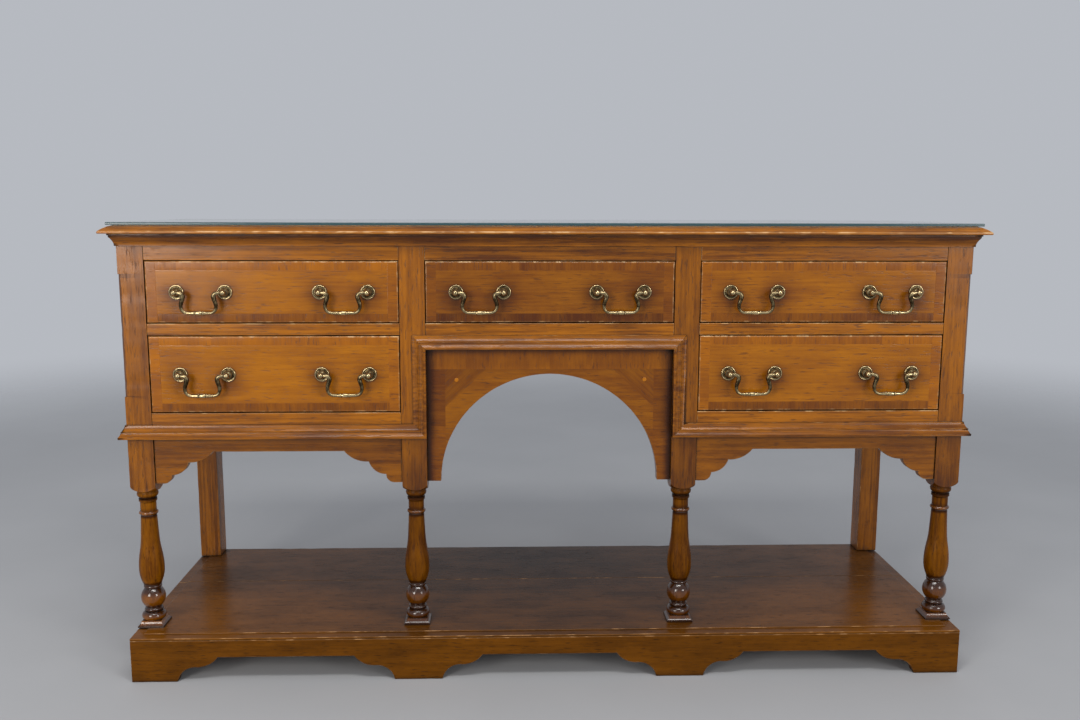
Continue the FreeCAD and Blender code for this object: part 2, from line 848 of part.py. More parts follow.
def waist_mouldings():
    """The moulding that runs under the outer drawers, up beside the arch and across over it."""
    section = waist_section()
    turn_line = dim.waist_lip_line + dim.waist_width
    arch_top = dim.kneehole_rail_bottom + dim.waist_width
    run = carcase_half - turn_line
    rise = arch_top - waist_top
    moulding(
        "waist_moulding_centre", section, turn_line * 2, "in", "in", -turn_line, front, arch_top)
    across = FreeCAD.Vector(0, 1, 0)
    left_run = moulding(
        "waist_left_run", section, run, "return", "out", -carcase_half, front, waist_top)
    left_rise = moulding("waist_left_rise", section, rise, "out", "in", -turn_line, front, waist_top)
    turn(left_rise, across, -90)
    right_run = moulding("waist_right_run", section, run, "out", "return", turn_line, front, waist_top)
    right_rise = moulding("waist_right_rise", section, rise, "in", "out", turn_line, front, arch_top)
    turn(right_rise, across, 90)
    fronts = {"left": [left_run, left_rise], "right": [right_run, right_rise]}
    for side, sign in SIDES.items():
        end = side_moulding(f"waist_{side}_end", section, sign, waist_top)
        group(f"waist_moulding_{side}", fronts[side] + [end])


# Top

def top_board():
    body = new_body("top_board")
    slab = sketch_on(body, "XY_Plane", "top_slab", dim.carcase_top)
    rectangle(slab, (-top_half, top_half), (top_front, dim.back_depth))
    pad(body, slab, dim.top_thickness)
    levels = (dim.carcase_top + dim.top_lip, top_face)
    edge_cut(
        body, "YZ_Plane", "top_front_slope", top_front, -1, levels, dim.top_slope, -dim.top_round)
    for side, sign in SIDES.items():
        edge_cut(
            body, "XZ_Plane", f"top_{side}_slope", sign * top_half, sign,
            levels, dim.top_slope, sign * dim.top_round)


def glass_top():
    half = top_half - dim.glass_inset
    body = new_body("glass_top")
    sheet = sketch_on(body, "XY_Plane", "glass_outline", top_face)
    rectangle(
        sheet, (-half, half), (top_front + dim.glass_inset, dim.back_depth - dim.glass_back_inset))
    pad(body, sheet, dim.glass_thickness)
    soften(
        body, "Chamfer", dim.glass_chamfer,
        lambda middle: near(middle.z, top_face + dim.glass_thickness))


# Drawers

def drawer_front_piece(name, low, high, bottom, top, handles, pivot):
    body = new_body(f"{name}_drawer_front", y=front)
    gap = dim.drawer_gap
    sketch = sketch_on(body, "XZ_Plane", f"{name}_front_outline")
    rectangle(sketch, (low + gap, high - gap), (bottom + gap, top - gap))
    pad(body, sketch, dim.drawer_front, reverse=True)
    soften(body, "Fillet", dim.drawer_edge, lambda middle: near(middle.y, 0))
    holes = sketch_on(body, "XZ_Plane", f"{name}_bolt_holes")
    for handle in handles:
        for sign in SIDES.values():
            circle(holes, handle + sign * dim.handle_centres / 2, pivot, dim.bolt_hole)
    cut_through(body, holes)


def drawer_box(name, low, high, bottom, top):
    """Two sides and a back, with the bottom board between them."""
    start = front + dim.drawer_front
    end = start + dim.drawer_length
    floor = bottom + dim.drawer_lift
    rim = top - dim.drawer_head_room
    left, right = low + dim.drawer_gap, high - dim.drawer_gap
    inner_left, inner_right = left + dim.drawer_side, right - dim.drawer_side
    panel = floor + dim.drawer_bottom_rise
    panel_top = panel + dim.drawer_bottom
    group(f"{name}_drawer_box", [
        board(f"{name}_side_a", (left, inner_left), (start, end), (floor, rim)),
        board(f"{name}_side_b", (inner_right, right), (start, end), (floor, rim)),
        board(f"{name}_back", (inner_left, inner_right), (end - dim.drawer_back, end), (panel_top, rim)),
    ])
    board(f"{name}_drawer_bottom", (inner_left, inner_right), (start, end), (panel, panel_top))


def handle_post(name, x, z, inward):
    """A turned rose, stem and knob on a bolt, with a blind hole on the inner side of the knob."""
    body = new_body(name, x=x, y=front, z=z)
    reach, knob = dim.pivot_reach, dim.knob_radius
    meeting = reach.number - math.sqrt(knob.number ** 2 - dim.stem_radius.number ** 2)
    sketch = sketch_on(body, "XY_Plane", f"{name}_turning")
    outline(sketch, [
        (0, dim.bolt_length),
        (0, -reach - knob),
        (knob, -reach, knob),
        (dim.stem_radius, -meeting, knob),
        (dim.stem_radius, -dim.boss_rise),
        (dim.boss_radius, -dim.rose_step, -dim.boss_round),
        (dim.rose_step_radius, -dim.rose_step),
        (dim.rose_radius, -dim.rose_rim),
        (dim.rose_radius, 0),
        (dim.bolt_radius, 0),
        (dim.bolt_radius, dim.bolt_length),
    ])
    spin(body, "Revolution", sketch, "Y_Axis")
    hole = sketch_on(body, "YZ_Plane", f"{name}_pin_hole", inward * dim.knob_flat)
    circle(hole, -reach, 0, dim.pin_radius + dim.pin_clearance)
    cut(body, hole, dim.pin_hole_depth, reverse=inward < 0)
    flat = sketch_on(body, "YZ_Plane", f"{name}_flat", inward * dim.knob_flat)
    circle(flat, -reach, 0, knob)
    cut(body, flat, knob, reverse=inward > 0)
    return body


def handle_nut(name, x, z):
    """A plain hexagonal nut on the bolt behind the drawer front."""
    body = new_body(name, x=x, y=front + dim.drawer_front, z=z)
    sketch = sketch_on(body, "XZ_Plane", f"{name}_hexagon")
    flats = [(math.cos(math.radians(60 * k)), math.sin(math.radians(60 * k))) for k in range(6)]
    outline(sketch, [(dim.nut_radius * round(u, 6), dim.nut_radius * round(v, 6)) for u, v in flats])
    circle(sketch, 0, 0, dim.bolt_hole)
    pad(body, sketch, dim.nut_height, reverse=True)
    return body


def handle_posts(name, handles, pivot):
    pieces = []
    for number, handle in enumerate(handles, start=1):
        for side, sign in SIDES.items():
            x = handle + sign * dim.handle_centres / 2
            pieces.append(handle_post(f"{name}_post_{number}_{side}", x, pivot, -sign))
            pieces.append(handle_nut(f"{name}_nut_{number}_{side}", x, pivot))
    group(f"{name}_handle_posts", pieces)


def rounded_path(points, radii):
    """Straight runs through points with a tangent arc at each inner one."""
    edges = []
    last = points[0]
    for before, corner, after, radius in zip(points, points[1:], points[2:], radii):
        back = (before - corner).normalize()
        ahead = (after - corner).normalize()
        half_angle = back.getAngle(ahead) / 2
        reach = radius / math.tan(half_angle)
        start, end = corner + back * reach, corner + ahead * reach
        toward = (back + ahead).normalize()
        middle = corner + toward * (radius / math.sin(half_angle) - radius)
        edges.append(Part.LineSegment(last, start).toShape())
        edges.append(Part.Arc(start, middle, end).toShape())
        last = end
    edges.append(Part.LineSegment(last, points[-1]).toShape())
    return Part.Wire(edges)


def bail_points(sign):
    """Corners of one arm of the bail, from its shoulder at the post to the middle of the grip."""
    half = dim.handle_centres.number / 2
    offsets = (
        (dim.knob_flat.number + dim.bail_shoulder_gap.number, 0),
        (dim.bail_elbow.number, 0),
        (dim.bail_flare.number, -dim.bail_flare_drop.number),
        (dim.bail_corner.number, -dim.bail_drop.number),
        (half, -dim.bail_drop.number),
    )
    return [FreeCAD.Vector(sign * (half - inward), 0, drop) for inward, drop in offsets]


def grip_outline():
    """Half outline of the swollen grip with its two turned rings."""
    rod, swell = dim.bail_rod.number, dim.grip_swell.number
    ring, ring_half = dim.grip_ring_radius.number, dim.grip_ring_half.number
    half, offset = dim.grip_half.number, dim.grip_ring_offset.number
    right = [
        (offset - ring_half, swell), (offset - ring_half, ring), (offset + ring_half, ring),
        (offset + ring_half, swell), (half, rod), (half, 0)]
    left = [(-u, v) for u, v in reversed(right)]
    return left + right


def bail(name, x, z):
    """A bent rod that hangs from two pins, with a swollen grip.

    The rod is swept along runs and tangent arcs, so its shape is made from the sheet's values here.
    """
    radii = (dim.bail_elbow_round.number, dim.bail_flare_round.number, dim.bail_corner_round.number)
    along = FreeCAD.Vector(1, 0, 0)
    solid = None
    for sign in SIDES.values():
        points = bail_points(sign)
        path = rounded_path(points, radii)
        section = Part.Wire(Part.makeCircle(dim.bail_rod.number, points[0], along))
        arm = path.makePipeShell([section], True, True)
        pin = Part.makeCylinder(
            dim.pin_radius.number, dim.pin_length.number + dim.bail_shoulder_gap.number,
            points[0], along * sign)
        arm = arm.fuse(pin)
        solid = arm if solid is None else solid.fuse(arm)
    drop = dim.bail_drop.number
    ring = [FreeCAD.Vector(u, 0, v - drop) for u, v in grip_outline()]
    face = Part.Face(Part.makePolygon(ring + ring[:1]))
    grip = face.revolve(FreeCAD.Vector(0, 0, -drop), along, 360)
    piece = doc.addObject("Part::Feature", name)
    piece.Label = name
    piece.Shape = solid.fuse(grip).removeSplitter()
    bind(piece, "Placement.Base.x", x)
    bind(piece, "Placement.Base.y", front - dim.pivot_reach)
    bind(piece, "Placement.Base.z", z)


def drawer(name, low, high, bottom, top):
    """One whole drawer in its opening, with two handles at mid height."""
    pivot = (bottom + top) / 2
    middle = (as_size(low) + high) / 2
    handles = [middle - dim.handle_offset, middle + dim.handle_offset]
    drawer_front_piece(name, low, high, bottom, top, handles, pivot)
    drawer_box(name, low, high, bottom, top)
    handle_posts(name, handles, pivot)
    for side, handle in zip(SIDES, handles):
        bail(f"{name}_bail_{side}", handle, pivot)


def drawers():
    upper = (dim.upper_row_bottom, dim.upper_row_top)
    lower = (dim.lower_row_bottom, dim.lower_row_top)
    drawer("upper_centre", -kneehole_half, kneehole_half, *upper)
    for row, levels in (("upper", upper), ("lower", lower)):
        drawer(f"{row}_left", -bay_outer, -bay_inner, *levels)
        drawer(f"{row}_right", bay_inner, bay_outer, *levels)


def build():
    plinth_front()
    plinth_returns()
    inside_front = dim.plinth_board - dim.plinth_depth
    potboard_plank("potboard_front", inside_front, dim.plank_joint, dim.plinth_board)
    potboard_plank("potboard_rear", dim.plank_joint, dim.back_depth, 0)
    for side, sign in SIDES.items():
        turned_leg(f"corner_leg_{side}", sign * dim.corner_axis, sign)
        turned_leg(f"inner_leg_{side}", sign * dim.inner_axis)
        rear_leg(side, sign)
        apron(side, sign)
        partition(side, sign)
    front_rails("top_rails", dim.upper_row_top, dim.carcase_top, ("left", "centre", "right"))
    front_rails("bottom_rails", dim.waist_bottom, dim.lower_row_bottom, ("left", "right"))
    middle_rails()
    arch_panel()
    side_frames()
    carcase_back()
    drawer_runners()
    waist_mouldings()
    cornice()
    top_board()
    glass_top()
    drawers()
    doc.recompute()


def nodes():
    """Every finished piece that isn't part of a group or a feature of a body."""
    grouped = {piece.Name for item in doc.Objects if item.TypeId == "Part::Compound" for piece in item.Links}
    kinds = ("Part::Box", "Part::Compound", "Part::Feature", "PartDesign::Body")
    return [item for item in doc.Objects if item.TypeId in kinds and item.Name not in grouped]


def check_and_write():
    for item in doc.Objects:
        if {"Invalid", "Error"} & set(item.State):
            raise RuntimeError(f"{item.Label} did not recompute: {item.State}")
    pieces = nodes()
    for piece in pieces:
        if piece.Shape.isNull() or not piece.Shape.isValid() or not piece.Shape.Solids:
            raise RuntimeError(f"{piece.Label} has no valid solid")
    os.makedirs("parts", exist_ok=True)
    for piece in pieces:
        piece.Shape.exportStep(f"parts/{piece.Label}.step")
    print(len(pieces), "nodes written")


build()
check_and_write()
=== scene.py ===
"""Looks of the oak dresser-base sideboard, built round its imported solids.

Metres. +Z is up, the front faces -Y, and the origin is on the floor under the middle.
"""
import json
import math
import random

import bmesh
import bpy
from mathutils import Euler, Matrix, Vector, noise


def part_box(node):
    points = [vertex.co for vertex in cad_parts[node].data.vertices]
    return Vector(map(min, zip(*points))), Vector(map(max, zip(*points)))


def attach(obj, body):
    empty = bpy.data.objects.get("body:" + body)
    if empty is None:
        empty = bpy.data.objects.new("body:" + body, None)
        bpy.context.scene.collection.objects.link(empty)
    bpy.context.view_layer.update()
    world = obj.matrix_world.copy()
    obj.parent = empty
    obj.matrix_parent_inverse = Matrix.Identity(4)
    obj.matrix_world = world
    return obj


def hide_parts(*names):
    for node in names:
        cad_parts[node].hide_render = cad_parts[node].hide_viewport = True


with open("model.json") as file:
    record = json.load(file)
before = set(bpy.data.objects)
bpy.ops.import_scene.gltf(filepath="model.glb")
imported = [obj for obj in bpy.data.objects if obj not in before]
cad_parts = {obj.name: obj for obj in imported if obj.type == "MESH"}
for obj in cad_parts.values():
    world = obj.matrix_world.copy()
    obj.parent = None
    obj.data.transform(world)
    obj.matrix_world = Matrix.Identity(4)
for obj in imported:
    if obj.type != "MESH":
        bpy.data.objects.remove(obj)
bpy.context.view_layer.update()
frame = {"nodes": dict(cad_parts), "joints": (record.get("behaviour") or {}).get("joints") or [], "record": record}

MM = 0.001
AXES = (Vector((1.0, 0.0, 0.0)), Vector((0.0, 1.0, 0.0)), Vector((0.0, 0.0, 1.0)))
OUTWARD = Vector((0.0, -1.0, 0.0))
BODY_OF = {
    node: body
    for body, members in frame["record"]["behaviour"]["bodies"].items()
    for node in members
}
SLOT_OF = {row["node"]: row["material_slot"] for row in frame["record"]["subparts"]}
JOINT_OF = {joint["name"]: joint for joint in frame["joints"]}
WOOD_SLOTS = ("oak_frame", "oak_base", "inner_timber")
DRAWERS = ("upper_left", "upper_centre", "upper_right", "lower_left", "lower_right")
HANDLES = ("left", "right")
CARCASE_TOP = 838.5 * MM
POTBOARD_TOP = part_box("potboard_front")[1].z
POTBOARD_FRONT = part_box("potboard_front")[0].y

# Photograph's camera: a 1080 by 720 picture
PICTURE_WIDTH = 1080
FOCAL_PIXELS = 1015.4
SENSOR = 36.0
CAMERA_PLACE = (-0.0782, -2.0730, 0.8892)
CAMERA_YAW = 1.80
CAMERA_PITCH = 8.62
CAMERA_ROLL = 0.14

# Mesh work
WELD = 0.00001
FLAT_ANGLE = math.radians(0.6)
CREASE_ANGLE = math.radians(24)
NORMAL_WEIGHT = 80
ORDER_DIGITS = 4
INSIDE_SHARE = 0.05

# Wear: the surface sinks by chance, its edges sink more; up-facing edges are barest and take a painted highlight
EASE = 1.5 * MM
FINE_EASE = 0.7 * MM
STEP = 18 * MM
RIPPLE = 0.2 * MM
RIPPLES_PER_METRE = 9.0
CHIP = 0.9 * MM
CHIPS = {"corner_leg_left": 2.0 * MM, "waist": 1.5 * MM, "cornice": 1.2 * MM, "potboard": 1.4 * MM}
CHIPS_PER_METRE = 70.0
CHIP_SHIFT = Vector((7.0, 3.0, 5.0))
CHIP_START = 0.15
FACING_UP = 0.25
WEAR_AND_HIGHLIGHT_UP = 1.0
WEAR_ELSEWHERE = 0.4

# Oak: waves of each noise in a metre along, across and through the grain
BEND_WAVES = (2.6, 11.0, 11.0)
STREAK_WAVES = (5.0, 150.0, 150.0)
CLOUD_WAVES = (9.0, 22.0, 22.0)
FLECK_WAVES = (48.0, 420.0, 420.0)
FIBRE_WAVES = (30.0, 1300.0, 1300.0)
CHIP_WAVES = (40.0, 90.0, 90.0)

# Oak: the rings, how dark the timber is, what a tone does to it, and how far apart pieces are cut from it
PITH = (0.0, 0.19, 0.11)
RING_BEND = 0.03
RINGS_PER_METRE = 150.0
MIDDLE_DEPTH = 0.34
TONE_DEPTH = 0.6
TONE_SHADE = 0.45
DARKEST_SHADE = 0.3
FLECK_SHARE = 0.6
GRAIN_SPREAD = 0.4

# Corners: how far the oak's dirt and painted shade, and the brass's patina, reach out of a corner
OAK_DIRT_AND_SHADE_REACH = 18 * MM
BRASS_DIRT_REACH = 4 * MM
OPENNESS_SAMPLES = 6

# Tone by the start of a node's name: below zero is darker
# The rear legs' darkening is painted shade under the carcase
TONES = {"apron": -0.32, "rear_leg": -0.26, "waist": -0.26, "bottom_rails": 0.02}
APRON_FIGURE = 0.55

# Top rails: painted shade of the cornice over them, darkest over the middle drawer
TOP_RAIL_SHADE = -0.10
TOP_RAIL_MIDDLE_SHADE = -0.34
TOP_RAIL_SHADE_REACH = 240 * MM
TOP_RAIL_POWER = 6

# Cornice: painted shade on the lip, on the step under it and on the cove's top, and how it lightens to the cove's
# foot
CORNICE_EASE = 0.6 * MM
CORNICE_LIP_END = 3.2 * MM
CORNICE_STEP_END = 6.2 * MM
CORNICE_COVE_END = 19 * MM
CORNICE_LIP_SHADE = -0.22
CORNICE_STEP_SHADE = -0.85
CORNICE_COVE_SHADE = -0.60
CORNICE_COVE_RISE = 0.35

# Potboard: painted shade in the middle under the carcase, and painted light on the front edge out from under it
POTBOARD_EASE = 2.0 * MM
POTBOARD_STEP = 24 * MM
POTBOARD_TONE = 0.10
POTBOARD_MIDDLE_SHADE = -0.95
POTBOARD_SHADE_REACH = 450 * MM
POTBOARD_EDGE_LIGHT = 0.3
POTBOARD_EDGE_LIGHT_REACH = 60 * MM

# Turned legs: tones of the square post and of the turned stretch under it
# The turned stretches, and the inner legs most, are darker partly as painted shade under the carcase
LEG_TONES = {
    "corner_leg_left": (-0.14, -0.36),
    "inner_leg_left": (-0.02, -0.74),
    "inner_leg_right": (-0.30, -0.80),
    "corner_leg_right": (-0.08, -0.66),
}
LEG_FINISHES = ("oak_frame", "oak_turned", "oak_vase")
LEG_STEP = 8 * MM
BLOCK_BOTTOM = 354.5 * MM
POST_FADE = 150 * MM
BALL_FIGURE = 0.3
VASE_FIGURE = 0.6

# Levels on a turned leg over the potboard. Dark bands lie at the foot of the pad and in the grooves, partly dirt
# and partly painted shade, and dirt on the shoulders over the cup and the ball: each band's level and half width
VASE_FOOT = 82 * MM
BEAD_FOOT = 218 * MM
BEAD_TOP = 228 * MM
LEG_DARK_BANDS = (
    (0 * MM, 5 * MM), (29 * MM, 8 * MM), (36 * MM, 4 * MM), (72 * MM, 9 * MM), (81 * MM, 3 * MM),
    (217 * MM, 2.5 * MM), (229 * MM, 2.5 * MM), (252 * MM, 4 * MM))
LEG_DARK_BAND_TONE = -1.3

# Chamfer on the post of a corner leg
CHAMFER_LEVELS = (538 * MM, 765 * MM)
CHAMFER_REACH = 8 * MM
CHAMFER_TONE = -0.5

# Veneers of the drawer fronts
VENEERS = ("oak_drawer_front", "crossband")
FIELD = VENEERS.index("oak_drawer_front")
BAND = VENEERS.index("crossband")
FRONT_ROUND = 3.0 * MM
FRONT_ROUND_SEGMENTS = 4
FRONT_RIPPLE = 0.16 * MM
FRONT_CHIP = 0.7 * MM
SIDE_BAND = 20 * MM
RAIL_BAND = 17 * MM
LEAF = 58 * MM
FRONT_STEP = LEAF / 6
JOINT_HALF = 0.3 * MM
JOINT_DEPTH = 0.2 * MM
FRONT_TONES = {
    "upper_left": -0.06, "upper_centre": -0.52, "upper_right": -0.18,
    "lower_left": 0.0, "lower_right": -0.06}

# Leaves of the borders: their tone over the front's own, and how far they differ
SIDE_LEAVES = (0.10, 0.10)
LOWER_LEAVES = (-0.30, 0.08)
UPPER_LEAVES = (0.10, 0.06)

# Smudges of dirt and painted shadows of the roses round the handle posts, centred a little below each
SMUDGE_AND_SHADOW_TONE = -0.75
SMUDGE_AND_SHADOW_REACH = 23 * MM
SMUDGE_AND_SHADOW_DROP = 7 * MM

# Veneers of the arch panel
ARCH_EASE = 0.8 * MM
ARCH_STEP = 22 * MM
ARCH_RIPPLE = 0.15 * MM
ARCH_CHIP = 0.6 * MM
ARCH_SIDE_BAND = 35 * MM
ARCH_TOP_BAND = 40 * MM
ARCH_SPRING = 470 * MM
INLAY_RUN = 77 * MM
INLAY_RISE = 72 * MM
ARCH_TONES = {
    "field": -0.44, "top": -0.06, "side_low": -0.34, "side_high": -0.48,
    "inlay_left": -0.60, "inlay_right": -0.52}

# Painted shade on the arch panel beside and under the mouldings
ARCH_SHADE_REACH = 10 * MM
ARCH_SHADE_CUTS = (5 * MM, 10 * MM, 16 * MM)
ARCH_SIDE_SHADE = -1.1
ARCH_TOP_SHADE = -0.7

# Pegs of the arch panel: each point of the profile has its height over the panel and its radius
PEGS_X = (-175 * MM, 179 * MM)
PEG_Z = 566 * MM
PEG_RADIUS = 4.2 * MM
PEG_PROFILE = (
    (0.4 * MM, 0.0), (0.4 * MM, 0.8 * PEG_RADIUS), (0.1 * MM, PEG_RADIUS), (-2 * MM, PEG_RADIUS))
PEG_SIDES = 20
PEG_TONE = 0.3

# Handles, in millimetres: each station of the arm has its inset from the post, drop, radius and polish,
# and each station of the grip its distance from the middle, radius and polish
POST_HALF = 44
BAIL_DROP = 37
ROD_SIDES = 20
ARM = (
    (3.2, 0.0, 2.4, 0.2), (5.5, 0.0, 3.1, 0.5), (10.0, -0.4, 3.8, 0.6), (14.4, -2.4, 4.2, 0.35),
    (16.4, -7.0, 4.2, 0.12), (15.0, -13.0, 4.0, 0.06), (12.8, -20.0, 3.6, 0.06),
    (12.5, -26.5, 3.2, 0.15), (15.0, -32.8, 2.9, 0.35), (20.5, -36.3, 2.8, 0.55),
    (27.0, -37.0, 2.9, 0.7))
ARM_STEPS = 6
GRIP = (
    (12.0, 3.2, 0.75), (9.4, 3.5, 0.8), (8.6, 3.3, 0.1), (8.3, 4.1, 0.9), (7.6, 4.4, 1.0),
    (6.9, 4.1, 0.9), (6.6, 3.3, 0.1), (5.8, 3.3, 0.1), (5.5, 3.8, 0.8), (2.5, 4.1, 0.9),
    (0.0, 4.2, 0.95))

# Handle posts, in millimetres: each station has its height over the front, radius and polish
KNOB_MIDDLE = 17.0
KNOB_RADIUS = 5.5
KNOB_DEGREES = 138
KNOB_STEPS = 14
KNOB_POLISH = 0.75
NECK = [(12.4, 3.1, 0.0), (10.6, 2.9, 0.0), (9.2, 3.4, 0.0)]
BOSS = [(8.3, 4.6, 0.1), (7.0, 6.3, 0.35), (5.2, 7.5, 0.6), (3.4, 8.0, 0.5), (2.6, 8.0, 0.05)]
COVE = [(2.1, 8.5, 0.0), (1.8, 9.6, 0.2), (1.9, 10.6, 0.2), (2.3, 11.2, 0.3)]
RIM = [(2.75, 11.9, 0.8), (2.6, 12.7, 0.95), (2.0, 13.3, 0.9), (1.1, 13.5, 0.5), (0.0, 13.4, 0.1)]
BOLT = [(0.0, 2.5, 0.2), (-27.4, 2.5, 0.4), (-28.0, 1.9, 0.4), (-28.0, 0.0, 0.4)]
NUT = [(-22.0, 2.5, 0.3), (-22.0, 5.2, 0.4), (-25.6, 5.2, 0.6), (-26.0, 4.8, 0.6), (-26.0, 2.5, 0.3)]
ROSE_SIDES = 40
NUT_SIDES = 6

# Glass
GLASS_FINISHES = ("glass", "glass_edge")
GLASS_EASE = 0.5 * MM
GLASS_LEVEL = 0.9
SMEAR_WAVES = (3.0, 9.0, 9.0)
SMEAR_SCALE = 2.0
SMEAR_ROUGHNESS = 0.06

# Floor
FLOOR_HALF = 14.0
FLOOR_SQUARES = 8
FLOOR_DROP = 0.3 * MM
FLOOR_FADE_START = 2.2
FLOOR_FADE_END = 5.0

draws = random.Random(5)


class Wiring:
    """Adds and joins the nodes of one material."""

    def __init__(self, name):
        self.material = bpy.data.materials.new(name)
        self.material.use_nodes = True
        self.tree = self.material.node_tree
        self.tree.nodes.clear()

    def put(self, socket, value):
        if isinstance(value, bpy.types.NodeSocket):
            self.tree.links.new(value, socket)
        else:
            socket.default_value = value

    def add(self, kind, settings=None, **inputs):
        node = self.tree.nodes.new(f"ShaderNode{kind}")
        for name, value in (settings or {}).items():
            setattr(node, name, value)
        for name, value in inputs.items():
            self.put(node.inputs[name.replace("_", " ")], value)
        return node

    def attribute(self, name, output="Fac"):
        return self.add("Attribute", {"attribute_name": name}).outputs[output]

    def place(self):
        return self.add("TexCoord").outputs["Object"]

    def openness(self, reach):
        """One in the open, and less where the surface is closed in within a reach."""
        return self.add("AmbientOcclusion", {"samples": OPENNESS_SAMPLES}, Distance=reach).outputs["AO"]

    def math(self, operation, first, second=0.0, clamp=False):
        node = self.add("Math", {"operation": operation, "use_clamp": clamp})
        self.put(node.inputs[0], first)
        self.put(node.inputs[1], second)
        return node.outputs[0]

    def times(self, first, second):
        return self.math("MULTIPLY", first, second)

    def total(self, *values, clamp=False):
        """Sum of several values, held between nought and one where asked."""
        result = values[0]
        for number, value in enumerate(values[1:], 2):
            result = self.math("ADD", result, value, clamp=clamp and number == len(values))
        return result

    def vector(self, operation, first, second=(0.0, 0.0, 0.0), output="Vector"):
        node = self.add("VectorMath", {"operation": operation})
        self.put(node.inputs[0], first)
        self.put(node.inputs[1], second)
        return node.outputs[output]

    def scaled(self, vector, factors):
        return self.vector("MULTIPLY", vector, factors)

    def length(self, vector):
        return self.vector("LENGTH", vector, output="Value")

    def noise(self, vector, scale=1.0, detail=2.0, roughness=0.5, distortion=0.0):
        node = self.add(
            "TexNoise", Vector=vector, Scale=scale, Detail=detail, Roughness=roughness,
            Distortion=distortion)
        return node.outputs["Fac"]

    def fit(self, value, low, high, to_low=0.0, to_high=1.0):
        """Carry a value from one range to another, smoothly and held inside it."""
        node = self.add("MapRange", {"interpolation_type": "SMOOTHSTEP", "clamp": True})
        for socket, number in zip(node.inputs, (value, low, high, to_low, to_high)):
            self.put(socket, number)
        return node.outputs[0]

    def mix(self, factor, first, second):
        """A colour between two colours."""
        node = self.add("Mix", {"data_type": "RGBA", "blend_type": "MIX"})
        for index, value in ((0, factor), (6, first), (7, second)):
            self.put(node.inputs[index], value)
        return node.outputs[2]

    def bump(self, height, strength, distance):
        return self.add("Bump", Height=height, Strength=strength, Distance=distance).outputs["Normal"]

    def finish(self, shader):
        """End in a shader and give the material back."""
        self.put(self.add("OutputMaterial").inputs["Surface"], shader)
        return self.material

    def surface(self, **inputs):
        return self.add("BsdfPrincipled", **inputs).outputs["BSDF"]

    def clear(self, **inputs):
        return self.add("BsdfTransparent", **inputs).outputs["BSDF"]

    def blend(self, share, first, second):
        """A shader between two shaders."""
        node = self.add("MixShader", Fac=share)
        self.put(node.inputs[1], first)
        self.put(node.inputs[2], second)
        return node.outputs["Shader"]


def rgb(red, green, blue):
    return (red, green, blue, 1.0)


# Oak
# Colour of the dirt and painted shade that darken the oak in its corners
DIRT_AND_SHADE_COLOUR = rgb(0.012, 0.005, 0.002)


def ring_lines(net, grain, strength):
    """Growth rings about a pith that lies beside the piece."""
    bend = net.noise(net.scaled(grain, BEND_WAVES))
    from_pith = net.vector("ADD", net.scaled(grain, (0.0, 1.0, 1.0)), PITH)
    radius = net.total(net.length(from_pith), net.times(bend, RING_BEND))
    ring = net.math("FRACT", net.times(radius, RINGS_PER_METRE))
    return net.fit(ring, low=0.0, high=0.6, to_low=0.6 * strength, to_high=-0.4 * strength)


def streak_lines(net, grain, strength):
    """Light and dark streaks along the grain."""
    streaks = net.noise(net.scaled(grain, STREAK_WAVES), detail=3.0, roughness=0.6, distortion=0.3)
    return net.fit(streaks, low=0.36, high=0.66, to_low=-0.45 * strength, to_high=0.55 * strength)


def toned(net, colour, tone):
    """A colour made lighter or darker by a tone."""
    shade = net.math("MAXIMUM", net.total(1.0, net.times(tone, TONE_SHADE)), DARKEST_SHADE)
    return net.scaled(colour, shade)


def worn_through(net, grain, colour, bare_and_highlight):
    """A colour with the bare timber showing in chips where the mesh is worn, which also paints a highlight on
    edges that face up.
    """
    chip = net.noise(net.scaled(grain, CHIP_WAVES), detail=4.0)
    chips = net.fit(chip, low=0.50, high=0.66, to_low=0.18, to_high=0.9)
    return net.mix(net.times(net.attribute("edge_wear_and_highlight"), chips), colour, bare_and_highlight)


